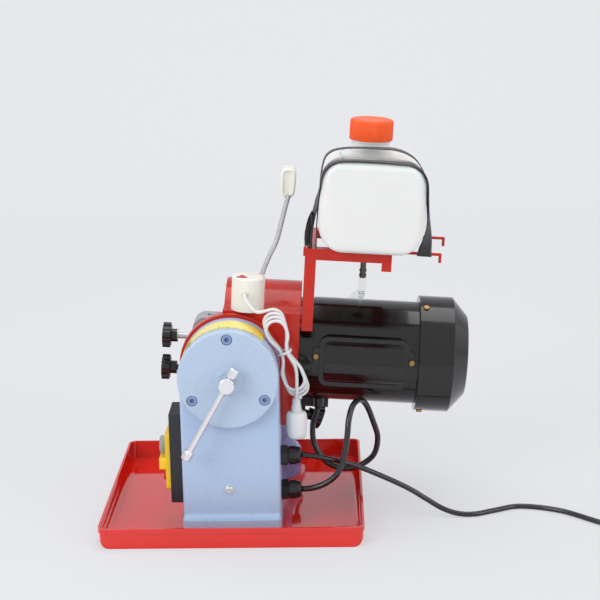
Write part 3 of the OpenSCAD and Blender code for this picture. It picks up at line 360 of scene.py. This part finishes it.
def bottle_shell():
    """Rings from the middle of the base to the rim of the neck. Seen from the front the corners
    have the radius foot_r below and top_r above, and from the side one of side_r. Above the body
    the rings ease to circles, up a cone to the neck."""
    a = np.linspace(0, 1, 193)
    rise = foot_r * (1 - np.cos(np.linspace(0, math.pi / 2, 17)))
    h = np.concatenate([[0.003, 0.003, 0.0024], rise, np.linspace(0.04, 0.079, 8),
                        bottle_h - rise[::-1]])[:, None]
    near = np.minimum(h, bottle_h - h)
    ex = inset(np.where(h < bottle_h / 2, foot_r, top_r), near)
    ey = inset(side_r, near)
    # the base is sunk by 3 mm inside its rim
    ex[:3], ey[:3] = [[0.0689], [0.050], [0.033]], [[0.0769], [0.045], [0.016]]
    # the sides belly by 0.9 mm and the mould's parting line stands 0.3 mm proud across both ends
    belly = 0.0009 * np.sin(math.pi * np.clip((h - 0.01) / 0.1, 0, 1)) ** 2
    x, y = rounded(half_w - ex, half_d - ey, np.maximum(plan_r - 0.4 * ex, 0.001), a[None, :])
    x = x + np.sign(x) * (belly + 0.0003 * np.exp(-(y / 0.0009) ** 2))
    # the top is crowned by 1.5 mm
    crown = 0.0015 * np.clip(1 - (x / 0.064) ** 2, 0, 1) * np.clip((h - 0.1) / 0.018, 0, 1)
    body = np.stack([bottle_mid[0] + x, bottle_mid[1] + y, bottle_base_z + h + crown], -1)
    # radius, height above the base and how round, for each ring of the shoulder and the neck
    r, z, c = np.array([(0.0445, 0.1202, 0.45), (0.0420, 0.1207, 0.8), (0.0385, 0.1212, 1),
                        (0.034, 0.1220, 1), (0.0305, 0.1235, 1), (0.0280, 0.1262, 1),
                        (0.0264, 0.1300, 1), (0.0255, 0.1340, 1), (0.0250, 0.1385, 1),
                        (0.0268, 0.1390, 1), (0.0268, 0.1405, 1), (0.0250, 0.1410, 1),
                        (0.0250, 0.156, 1), (0.0225, 0.156, 1), (0.0225, 0.140, 1)]).T[:, :, None]
    ring = np.stack([neck_mid[0] + r * np.cos(2 * math.pi * a), neck_mid[1] + r * np.sin(2 * math.pi * a),
                     bottle_base_z + z + 0 * a], -1)
    return on_head(np.concatenate([body, body[-1] * (1 - c[..., None]) + ring * c[..., None]]))


hdpe = surface("natural_hdpe", "#e4e5e2", 0.4, 0.012, 0.00006, tone=0.015, soft=0.001,
               Subsurface_Weight=0.5, Subsurface_Scale=0.02, IOR=1.54)
bottle = skin("bottle_shell", bottle_shell(), hdpe, "head")
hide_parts("bottle")


cap_base_z, cap_h = 0.522, 0.028
cap_ribs = 72


def ribbed_cap():
    """A turned profile, drawn 30 mm high, whose radius swings with the angle on the skirt by
    0.4 mm, once for each grip rib."""
    a = np.linspace(0, 1, cap_ribs * 6 + 1)
    prof = np.array([[0.0, 0.0258, 0], [0.0002, 0.0280, 0], [0.0005, 0.0285, 0.5], [0.0010, 0.0286, 1],
                     [0.0262, 0.0284, 1], [0.0274, 0.0282, 0.5], [0.0284, 0.0277, 0.1], [0.0292, 0.0268, 0],
                     [0.0298, 0.0252, 0], [0.0300, 0.0220, 0], [0.0296, 0.0205, 0], [0.0296, 0.0, 0]])
    z, r, rib = prof.T[:, :, None]
    wave = np.clip(np.cos(2 * math.pi * cap_ribs * a) * 1.6, -1, 1)
    r = r + 0.0004 * rib * wave
    x = neck_mid[0] + r * np.cos(2 * math.pi * a)
    y = neck_mid[1] + r * np.sin(2 * math.pi * a)
    return on_head(np.stack([x, y, cap_base_z + z * cap_h / 0.030 + 0 * a], -1))


orange = surface("orange_pp", "#fa5c0c", 0.3, 0.002, 0.00001, tone=0.015, soft=0.0003,
                 Subsurface_Weight=0.04, Subsurface_Scale=0.004)
cap = skin("ribbed_cap", ribbed_cap(), orange, "cap")
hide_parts("bottle_cap")


def webbing():
    """Black polypropylene webbing: yarns 1.4 by 1.1 mm laid in a plain weave, as sin(u) * sin(v)
    of the strap's own length and width."""
    m, t = blank("woven_webbing")
    uv = add(t, "UVMap", uv_map="along").outputs[0]
    pitch = (2 * math.pi / 0.0028, 2 * math.pi / 0.0022, 0)
    scaled = add(t, "VectorMath", {0: uv, 1: pitch}, operation="MULTIPLY")
    sines = add(t, "VectorMath", {0: scaled.outputs[0]}, operation="SINE")
    wave = add(t, "SeparateXYZ", {0: sines.outputs[0]})
    weave = add(t, "Math", {0: wave.outputs["X"], 1: wave.outputs["Y"]}, operation="MULTIPLY")
    tone = add(t, "MapRange", {"Value": weave.outputs[0], "From Min": -1.0, "From Max": 1.0,
                               "To Min": 0.0, "To Max": 1.0})
    mix = add(t, "Mix", {0: tone.outputs[0], 6: linear("#111113"), 7: linear("#303136")}, data_type="RGBA")
    bump = add(t, "Bump", {"Height": weave.outputs[0], "Distance": 0.00025, "Strength": 1.0})
    p = add(t, "BsdfPrincipled", {"Base Color": mix.outputs[2], "Roughness": 0.62, "Sheen Weight": 0.25,
                                  "Normal": bump.outputs[0]})
    add(t, "OutputMaterial", {"Surface": p.outputs[0]})
    return m


web = webbing()


def smooth(points, m):
    """m steps between each two points on the curve that passes through them all, each piece a
    cubic whose slope at a point is half the chord of its neighbours."""
    q = np.asarray(points, float)
    a, b = np.vstack([2 * q[:1] - q[1:2], q[:-2]]), q[:-1]
    c, d = q[1:], np.vstack([q[2:], 2 * q[-1:] - q[-2:-1]])
    t = (np.arange(m) / m)[None, :, None]
    a, b, c, d = (v[:, None, :] for v in (a, b, c, d))
    r = 0.5 * (2 * b + (c - a) * t + (2 * a - 5 * b + 4 * c - d) * t ** 2 + (3 * b - a - 3 * c + d) * t ** 3)
    return np.vstack([r.reshape(-1, q.shape[1]), q[-1:]])


def evenly(p, step):
    """The same line with its points every step metres."""
    s = np.concatenate([[0], np.cumsum(np.linalg.norm(np.diff(p, axis=0), axis=1))])
    t = np.linspace(0, s[-1], max(2, int(round(s[-1] / step)) + 1))
    return np.stack([np.interp(t, s, p[:, k]) for k in range(p.shape[1])], 1), t


# the webbing's width and thickness, and where a strap starts to turn and over what drop, in mm
web_w, web_t = 20, 1.3
turn_from, turn_drop = 462, 86


def strap(name, rows, twist=0.0, left=0.0):
    """A ribbon along a line given by points in mm. Its face looks away from the bottle: square to
    the line as seen from the front, (-dz, dx), and its width is that crossed with the line. Below
    turn_from it turns about the line, by up to twist on the right and by left on the left."""
    line, run = evenly(smooth(np.array(rows, float), 10), 1.5)
    d = np.gradient(line, axis=0)
    flat = d[:, [0, 2]] / np.maximum(np.linalg.norm(d[:, [0, 2]], axis=1), 1e-6)[:, None]
    face = np.stack([-flat[:, 1], 0 * run, flat[:, 0]], 1)
    d = d / np.linalg.norm(d, axis=1)[:, None]
    wide = np.cross(face, d)
    wide = wide / np.linalg.norm(wide, axis=1)[:, None]
    face = np.cross(d, wide)
    down = np.clip((turn_from - line[:, 2]) / turn_drop, 0, 1)
    low = np.where(line[:, 0] > 1000 * bottle_mid[0], down ** 2.2 * twist, np.clip(down * 4, 0, 1) * left)
    c, k = np.cos(low)[:, None], np.sin(low)[:, None]
    wide, face = wide * c + face * k, face * c - wide * k
    half = web_w / 2
    v = np.concatenate([np.linspace(-half, half, 9), np.linspace(half, -half, 9)[1:]])
    side = np.where(np.arange(17) < 9, 1.0, 0.0)
    side[[0, 8, 16]] = 0.5
    # slack webbing cups and ripples by a third of a millimetre
    off = (side - 0.5)[None, :] * web_t + 0.3 * np.sin(run[:, None] / 17 + v[None, :] * 0.15)
    g = line[:, None] + v[None, :, None] * wide[:, None] + off[..., None] * face[:, None]
    uv = np.stack([run[:, None] + 0 * v, v + 0 * run[:, None]], -1) / 1000
    o = skin(name, on_head(g / 1000), web, "head", uv)
    return o


# the near strap follows the near top edge; the other stands in an arch in front of the neck, under
# the cap's rim, and tucks in behind the near one on the right
near_route = [(96.8, -42, 381), (96.6, -42, 392), (97.4, -43, 408), (99.6, -45, 424), (102.2, -49, 438),
              (104.4, -56, 452), (105.7, -62, 464), (105.9, -65, 472), (107, -66, 479.6),
              (109.8, -66, 486.7), (114.3, -66, 492.8), (120.3, -66, 497.4), (127.4, -66, 500.4),
              (135, -66, 501.7), (150, -66, 502.6), (172, -66, 503), (196, -66, 502.6),
              (217, -66, 501.7), (224.6, -66, 500.4), (231.7, -66, 497.4), (237.7, -66, 492.8),
              (242.2, -66, 486.7), (245, -66, 479.6), (246.3, -65.5, 472), (247.4, -64, 459),
              (249.2, -59, 446), (250.6, -52, 430), (251.4, -47, 412), (251, -44, 396),
              (249.6, -43, 385), (249.2, -43, 375.5)]
far_route = [(104.8, -44, 381), (104.6, -44, 400), (104.8, -43, 430), (105.6, -43, 457), (106, -43, 471),
             (107.1, -43, 484.3), (109.6, -43, 498), (113.8, -43, 505.8), (122, -43, 511.5),
             (133.8, -43, 514.5), (147, -43, 516), (160, -43, 516.8), (173, -43, 517),
             (186, -43, 516.9), (197, -43, 516.8), (208, -43, 515), (217, -43, 512),
             (226, -43, 507), (232, -43, 501.2), (237, -43, 494.5), (241.5, -43, 486.5),
             (245.4, -43, 476), (247, -43, 466), (248, -45, 452), (249, -49, 436), (250, -52, 420)]
tail_end = [(99.6, -45, 428), (96.4, -45, 420), (94.2, -45, 410), (92.8, -45, 396), (93.6, -45, 384)]
near_strap = strap("strap_near", near_route, 1.5, 0.3)
strap("strap_far", far_route)
strap("strap_tail", tail_end, 0.0, 0.4)
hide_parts("bottle_straps")

# ------------------------------------------------------------------ lamp
# Ivory ABS lamp base with a red rocker, a chrome gooseneck and a moulded lamp head with a sunk
# panel in front. The neck is strip wound, so its ribs climb it as a thread.
ivory = surface("ivory_abs", "#e9e7dc", 0.3, 0.0015, 0.00002, tone=0.03, soft=0.0012,
                Subsurface_Weight=0.08, Subsurface_Scale=0.003)
dress(ivory, "lamp_base")
dress(surface("rocker_red", "#d01d17", 0.25, 0.001, 0.00001, soft=0.0005), "lamp_rocker")


def frames(p):
    """Two unit vectors across the line at each point, carried along it without twist: each is the
    last one less its part along the new direction."""
    d = np.gradient(p, axis=0)
    d /= np.linalg.norm(d, axis=1)[:, None]
    u = np.cross(d[0], [0.31, 0.21, 0.93])
    out = []
    for k in range(len(p)):
        u = u - d[k] * (u @ d[k])
        u = u / np.linalg.norm(u)
        out.append(u)
    out = np.array(out)
    return out, np.cross(d, out)


def tube(p, radius, around=14, close=True):
    """A round bar along the line: p + r * (cos(f) * u + sin(f) * v), r one value or one per ring
    and angle. Its ends are closed by rings drawn in to their middle."""
    u, v = frames(p)
    f = np.linspace(0, 2 * math.pi, around + 1)[None, :]
    r = np.broadcast_to(np.asarray(radius, float), (len(p), around + 1))[..., None]
    g = p[:, None] + r * (np.cos(f)[..., None] * u[:, None] + np.sin(f)[..., None] * v[:, None])
    if close:
        g = np.concatenate([np.repeat(p[:1, None], around + 1, 1), g,
                            np.repeat(p[-1:, None], around + 1, 1)])
    return g


def buckle_line():
    """A rounded rectangle 28 by 12 mm, upright where the straps meet, in mm: a flattened circle
    a * cos, b * sin, clipped to its straight sides, plus a unit circle for the corners."""
    a = np.linspace(0, 2 * math.pi, 33)
    y = np.clip(np.cos(a) * 30, -13, 13) + np.cos(a)
    z = np.clip(np.sin(a) * 12, -5, 5) + np.sin(a)
    return evenly(smooth(np.column_stack([0 * a + 97.3, y - 45, z + 420]), 3), 1.0)[0]


# ladder buckle: a frame bent from 3 mm bar and one cross bar, threaded on both straps
buckle = skin("buckle_frame", tube(on_head(buckle_line() / 1000), 0.0015, 12, close=False), nylon, "head")
bar_line = np.linspace([0.0964, -0.059, 0.420], [0.0964, -0.031, 0.420], 20)
bar = skin("buckle_bar", tube(on_head(bar_line), 0.0013, 12), nylon, "head")

# the gooseneck is 6.2 mm thick with ribs of 0.42 mm, one every 2.2 mm
arm_r, arm_rib, arm_pitch = 0.0031, 0.00042, 0.0022
arm_route = [(0.0335, -0.0425, 0.3325), (0.0365, -0.0425, 0.345), (0.044, -0.0425, 0.366),
             (0.0529, -0.0425, 0.3888), (0.0601, -0.0425, 0.424), (0.0655, -0.0425, 0.449)]
neck_line, neck_at = evenly(smooth(arm_route, 12), 0.00045)
turn = np.linspace(0, 1, 19)[None, :]
rib = arm_rib * np.cos(2 * math.pi * (neck_at[:, None] / arm_pitch - turn))
strip_wound = surface("strip_wound", "#c4c5c9", 0.3, 0.001, 0.00001, tone=0.2, soft=0.0003, Metallic=1.0)
neck = skin("gooseneck", tube(on_head(neck_line), arm_r + rib, 18), strip_wound, "head")


# the lamp head's middle as seen from the front, its back, half sizes, corner, rim and depth
lamp_x, lamp_z, lamp_back_y = 0.06375, 0.463, -0.0085
lamp_half_w, lamp_half_h, lamp_corner = 0.01025, 0.020, 0.008
lamp_rim, lamp_deep = 0.003, 0.028


def lamp_head():
    """A lozenge: a rounded rectangle as seen from the front, carried from its back to its front
    face with an inset that follows a quarter circle at both rims, and a sunk panel in front."""
    a = np.linspace(0, 1, 97)
    q = np.linspace(0, math.pi / 2, 6)
    # inset and distance from the back, in turn: back face, rim, parting groove, rim, sunk panel
    rows = [(0.0102, 0.0), (0.004, 0.0)]
    rows += [(lamp_rim * (1 - math.sin(k)), lamp_rim * (1 - math.cos(k))) for k in q[1:]]
    rows += [(0.0, 0.013), (0.0004, 0.0134), (0.0004, 0.0142), (0.0, 0.0146)]
    rows += [(lamp_rim * (1 - math.cos(k)), lamp_deep - lamp_rim * (1 - math.sin(k))) for k in q]
    rows += [(0.0036, 0.0278), (0.0040, 0.0270), (0.0102, 0.0270)]
    e, y = np.array(rows).T[:, :, None]
    x, z = rounded(lamp_half_w - e, lamp_half_h - e, np.maximum(lamp_corner - e, 0.0002), a[None, :])
    # it narrows by a fifth towards the gooseneck
    thin = 1.0 - 0.22 * np.clip(-z / lamp_half_h, 0, 1) ** 2
    return on_head(np.stack([lamp_x + x * thin, lamp_back_y - y + 0 * a, lamp_z + z], -1))


head_shell = skin("lamp_head", lamp_head(), ivory, "head")
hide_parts("lamp_arm")

# ----------------------------------------------------------------- cords
# The mains lead is 1.74 m of 7.2 mm rubber cord: out of the upper gland, over the tray's edge, along
# the bench and into a coil. The motor cable is 8 mm, from the lower gland up to the motor. The lamp's
# thin white lead is folded into a hank, held by a tie, with its plug below. The hose is clear PVC.
rubber = surface("cord_rubber", "#17171a", 0.26, 0.003, 0.00002, tone=0.12, soft=0.0005,
                 Coat_Weight=0.4, Coat_Roughness=0.15)
white_pvc = surface("white_pvc", "#dcddde", 0.3, 0.0015, 0.00001, tone=0.02, soft=0.0004,
                    Subsurface_Weight=0.05, Subsurface_Scale=0.003)


def mm(rows):
    """Points given in mm."""
    return np.array(rows, float) / 1000


mains_d = 0.0072
mains_route = mm([(92, -90, 98.5), (108, -88.5, 96), (125, -85.5, 91.5), (159, -77, 80), (198, -70, 61),
                  (236, -67, 41), (262, -66, 24), (284, -68.5, 11), (306, -72.5, 5), (329, -71.5, 3.9),
                  (355, -59.5, 3.8), (393, -45, 3.8), (445, -62, 3.8), (492, -104, 3.8),
                  (530, -132, 3.8), (569, -139.2, 3.8)])
tail_route = mm([(620.4, -189.5, 10.9), (620.8, -203, 8.6), (625, -216.6, 7.6), (633, -227, 10),
                 (643, -233, 14.3), (653, -235, 18.5)])


coil_mid = (0.570, -0.189)


def coil():
    """Clockwise from the north of coil_mid, t in degrees: two turns in to a radius of 35.6 mm on
    the bench, a sixth of a turn up by one diameter, then two turns and a twelfth out on top."""
    t = np.arange(2, 1528, 4.0)
    inward, outward = np.clip(t / 720, 0, 1), np.clip((t - 780) / 750, 0, 1)
    r = 0.0500 - 0.0144 * inward + 0.0145 * outward
    rise = np.clip((t - 720) / 60, 0, 1)
    z = 0.0038 + 0.0073 * rise * rise * (3 - 2 * rise)
    a = np.radians(90 - t)
    return np.stack([coil_mid[0] + r * np.cos(a), coil_mid[1] + r * np.sin(a), z], 1)


mains_line = np.vstack([smooth(mains_route, 10)[:-1], coil(), smooth(tail_route, 8)])
mains_line, mains_at = evenly(mains_line, 0.003)
lead = skin("mains_lead", tube(mains_line, mains_d / 2, 12), rubber, "base")
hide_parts("mains_cord", "mains_coil")
dress(rubber, "mains_plug")

motor_d = 0.008
motor_route = mm([(92, -90, 49.8), (108, -90.5, 51.6), (126, -92.5, 59.5), (141, -94, 74), (150, -93, 99),
                  (154, -91, 124), (156.5, -85, 146), (162, -72, 161), (172, -55, 164), (181.5, -41, 151),
                  (190, -30, 126), (197, -20, 96), (189, -12, 66), (160, -7, 48), (129, -2, 53),
                  (109.5, 4, 78), (107, 7, 107), (114.4, 8, 133.2)])
motor_line, motor_at = evenly(smooth(motor_route, 12), 0.003)
cable = skin("motor_cable_run", tube(motor_line, motor_d / 2, 14), rubber, None)
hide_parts("motor_cable")
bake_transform(cable)

lamp_d = 0.0044
lamp_step = 0.0022
hank_mid = np.array([0.0745, 0.2405])
hank_axis = np.array([0.319, -0.948])


def hank():
    """Three and a half turns round an oval whose straight sides are 2 * h long and whose ends have
    the radius r. Each turn lies 4.5 mm nearer than the last. They are pinched to 4 mm from the
    hank's axis where the tie is, and later turns stop short at both ends."""
    h, r = 0.0505, 0.0132
    lap = 4 * h + 2 * math.pi * r
    s = np.arange(0, 3.5 * lap - math.pi * r * 0.5, lamp_step) + math.pi * r * 0.5
    turn_no, q = np.floor(s / lap), s % lap
    # q runs over the top arc, down the right, round the bottom and up the left
    arc = math.pi * r
    f1 = np.clip(q / r, 0, math.pi)
    down = np.clip(q - arc, 0, 2 * h)
    f2 = np.clip((q - arc - 2 * h) / r, 0, math.pi)
    up = np.clip(q - 2 * arc - 2 * h, 0, 2 * h)
    across = np.where(q < arc + 2 * h + 1e-9, -r * np.cos(f1), r * np.cos(f2))
    top = np.where(q < arc, r * np.sin(f1), 0)
    bottom = np.where(q > arc + 2 * h, r * np.sin(f2), 0)
    along = h + top - down - bottom + up
    pinch = 1 - 0.7 * np.exp(-((along - 0.004) / 0.021) ** 2)
    across = across * pinch
    lift = np.array([0.004, 0.010, 0.016, 0.0])[np.clip(turn_no, 0, 3).astype(int)]
    low = np.clip((-along - 0.008) / (h - 0.012), 0, 1)
    last = np.clip((s - 3 * lap - arc - h) / h, 0, 1)
    across = across * (1 - last * last * (3 - 2 * last))
    high = np.clip((along - 0.012) / (h - 0.012), 0, 1)
    along = along + lift * low * low * (3 - 2 * low) - 0.0042 * s / lap * high * high * (3 - 2 * high)
    y = -0.0915 - 0.0045 * s / lap
    side = np.array([-hank_axis[1], hank_axis[0]])
    xz = hank_mid - along[:, None] * hank_axis + across[:, None] * side
    return np.stack([xz[:, 0], y, xz[:, 1]], 1)


wound = hank()
lead_in = mm([(19.8, -68, 317), (20.5, -74.3, 315.2), (23.4, -82, 310), (29.3, -88, 303.6),
              (38.5, -91.3, 297.5)])
lead_out = mm([(88.0, -106.0, 196.5), (87.6, -102.6, 189), (87.2, -99.4, 184), (87, -98, 180.5)])
lamp_line = np.vstack([smooth(np.vstack([lead_in, wound[1:2]]), 6)[:-1], wound[1:-6],
                       smooth(np.vstack([wound[-6:-5], lead_out]), 6)[1:]])
lamp_line, lamp_at = evenly(lamp_line, lamp_step)
lamp_lead = skin("lamp_lead_run", tube(lamp_line, lamp_d / 2, 10), white_pvc, None)
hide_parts("lamp_lead", "lamp_hank")
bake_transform(lamp_lead)


def about(line_from, line_to, rows, around=40, flat=1.0):
    """A body turned about the line from one point to another: rows of distance along and radius.
    flat squeezes it across one way."""
    start, end = np.asarray(line_from, float), np.asarray(line_to, float)
    d = (end - start) / np.linalg.norm(end - start)
    u = np.cross(d, [0.0, 1.0, 0.02])
    u /= np.linalg.norm(u)
    v = np.cross(d, u)
    a = 2 * math.pi * np.linspace(0, 1, around + 1)
    t, r = np.asarray(rows, float).T
    return (start + t[:, None, None] * d + (r[:, None] * np.cos(a))[..., None] * u
            + (flat * r[:, None] * np.sin(a))[..., None] * v)


# the plug's strain relief widens over 18 mm, with a rib every 3 mm, and then comes its body
relief_l, relief_pitch = 0.018, 0.003
relief = np.linspace(0, relief_l, 73)
ribs = np.clip(np.cos(relief / relief_pitch * 2 * math.pi) * 2, -1, 1)
relief_r = 0.0046 + 0.0024 * relief / relief_l + 0.0005 * ribs
plug_body = [(0.0182, 0.0098), (0.0190, 0.0118), (0.0215, 0.0133), (0.026, 0.0139), (0.034, 0.0140),
             (0.046, 0.0134), (0.052, 0.0122), (0.0545, 0.0105), (0.0555, 0.0085), (0.056, 0.0)]
plug_rows = [(0, 0)] + list(zip(relief, relief_r)) + plug_body
plug = skin("lamp_plug_body", about((0.087, -0.098, 0.181), (0.087, -0.098, 0.125), plug_rows, 48, 0.8),
            white_pvc, "base")
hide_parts("lamp_plug")
# a moulded band round the hank, 3.7 mm wide
tie_rows = [(0, 0.0088), (0.0002, 0.0098), (0.0018, 0.0101), (0.0035, 0.0098), (0.0037, 0.0088), (0, 0.0088)]
tie = skin("hank_tie", about((0.0722, -0.0990, 0.2470), (0.0735, -0.0990, 0.2435), tie_rows, 40, 1.05),
           white_pvc, "base")

# a clear hose of soft PVC from the tap's tail, over the motor and down into the hood's far side
hose_d = 0.009
hose_route = mm([(171, 6, 337), (171, 6, 325), (171, 7, 314), (171, 12, 305), (171, 24, 299.8),
                 (170, 44, 298.2), (166, 66, 292), (158, 85, 277), (146, 98, 263), (126, 104.5, 257),
                 (106, 105, 258), (90, 105, 259)])
hose_line, hose_at = evenly(on_head(smooth(hose_route, 10)), 0.0025)
clear_pvc = surface("clear_pvc", "#f4f7f6", 0.2, 0.003, 0.00001, tone=0.01, soft=0.0004,
                    Transmission_Weight=0.96, IOR=1.04)
hose = skin("water_hose", tube(hose_line, hose_d / 2, 14), clear_pvc, "head")

# ---------------------------------------------------------------- studio
# A pale seamless sweep, a wide soft light overhead and behind, a key from the left front, a fill
# from the right front, and the camera on a long lens a little above the machine.
wall_y, sweep_r = 2, 1.2


def sweep():
    """Floor and wall in one sheet: flat to wall_y, then a quarter circle of radius sweep_r, then up."""
    q = np.linspace(0, math.pi / 2, 24)
    y = np.concatenate([[-4, -1, 0, 1, wall_y], wall_y + sweep_r * np.sin(q), [wall_y + sweep_r]])
    z = np.concatenate([[0, 0, 0, 0, 0], sweep_r - sweep_r * np.cos(q), [5]])
    x = np.linspace(-5, 5, 9)
    return np.stack([x[None, :] + 0 * y[:, None], y[:, None] + 0 * x, z[:, None] + 0 * x], -1)


def studio_paper():
    """To the camera a sheet lit evenly, a little brighter up the wall; to the machine plain paper."""
    m, t = blank("studio_paper")
    path = add(t, "LightPath")
    back = add(t, "SeparateXYZ", {0: add(t, "TexCoord").outputs["Object"]})
    glow = add(t, "MapRange", {"Value": back.outputs["Y"], "From Min": 0.3, "From Max": 2.2,
                               "To Min": 0.50, "To Max": 0.59})
    matt = add(t, "BsdfDiffuse", {"Color": linear("#8e8f91")})
    light = add(t, "Emission", {"Color": linear("#fbfcff"), "Strength": glow.outputs[0]})
    lit = add(t, "AddShader", {0: matt.outputs[0], 1: light.outputs[0]})
    seen = add(t, "Math", {0: path.outputs["Is Camera Ray"], 1: path.outputs["Is Transmission Ray"]},
               operation="MAXIMUM")
    pale = add(t, "BsdfDiffuse", {"Color": linear("#dcdce0")})
    sheet = add(t, "MixShader", {0: seen.outputs[0], 1: pale.outputs[0], 2: lit.outputs[0]})
    add(t, "OutputMaterial", {"Surface": sheet.outputs[0]})
    return m


def backdrop():
    """The sweep as a smooth mesh whose faces look up and forwards."""
    g = sweep()
    me = bpy.data.meshes.new("studio_sweep")
    me.from_pydata(g.reshape(-1, 3).tolist(), [], quads_of(g)[:, ::-1].tolist())
    me.polygons.foreach_set("use_smooth", np.ones(len(me.polygons), bool))
    me.materials.append(studio_paper())
    o = bpy.data.objects.new("studio_sweep", me)
    bpy.context.scene.collection.objects.link(o)
    return o


backdrop()

world = bpy.data.worlds.new("studio_air")
world.use_nodes = True
air = world.node_tree
air.nodes.clear()
sky = add(air, "Background", {"Color": linear("#e8e9ec"), "Strength": 0.9})
add(air, "OutputWorld", {"Surface": sky.outputs[0]})
bpy.context.scene.world = world


def turned(right, up, back, place):
    """The matrix of a light or camera at place whose own x, y and z point this way."""
    return Matrix([[right[r], up[r], back[r], place[r]] for r in range(3)] + [[0, 0, 0, 1]])


def softbox(name, place, aim, size, watts):
    """A white area light at place that looks at aim."""
    data = bpy.data.lights.new(name, "AREA")
    data.shape = "RECTANGLE"
    data.size, data.size_y = size
    data.energy = watts
    o = bpy.data.objects.new(name, data)
    back = np.asarray(place, float) - np.asarray(aim, float)
    back /= np.linalg.norm(back)
    right = np.cross([0, 0, 1.0], back)
    right /= np.linalg.norm(right)
    o.matrix_world = turned(right, np.cross(back, right), back, place)
    bpy.context.scene.collection.objects.link(o)


softbox("overhead", (0.1, 0.35, 1.9), (0.1, 0.1, 0.2), (1.8, 1.2), 13)
softbox("left_front", (-1.4, -1.6, 1.3), (0.1, 0, 0.25), (1.2, 1.4), 21)
softbox("right_front", (1.9, -1.2, 1.2), (0.1, 0, 0.25), (1.0, 1.4), 11)


def camera(place, lens, pitch, yaw, roll):
    """A camera that looks along +y, turned to the right by yaw, down by pitch and then rolled, all
    in degrees."""
    data = bpy.data.cameras.new("view")
    data.sensor_width = 36.0
    data.lens = lens
    data.clip_start = 0.05
    data.clip_end = 20
    o = bpy.data.objects.new("view", data)
    pitch, yaw, roll = (math.radians(v) for v in (pitch, yaw, roll))
    ahead = np.array([math.sin(yaw) * math.cos(pitch), math.cos(yaw) * math.cos(pitch), -math.sin(pitch)])
    level = np.array([math.cos(yaw), -math.sin(yaw), 0.0])
    high = np.cross(level, ahead)
    right = level * math.cos(roll) + high * math.sin(roll)
    up = high * math.cos(roll) - level * math.sin(roll)
    o.matrix_world = turned(right, up, -ahead, place)
    bpy.context.scene.collection.objects.link(o)
    return o


bpy.context.scene.camera = camera((0.1358, -2.0037, 0.8007), lens=90.63, pitch=14.29, yaw=-1.25, roll=-0.99)
bpy.context.scene.view_settings.view_transform = "Standard"
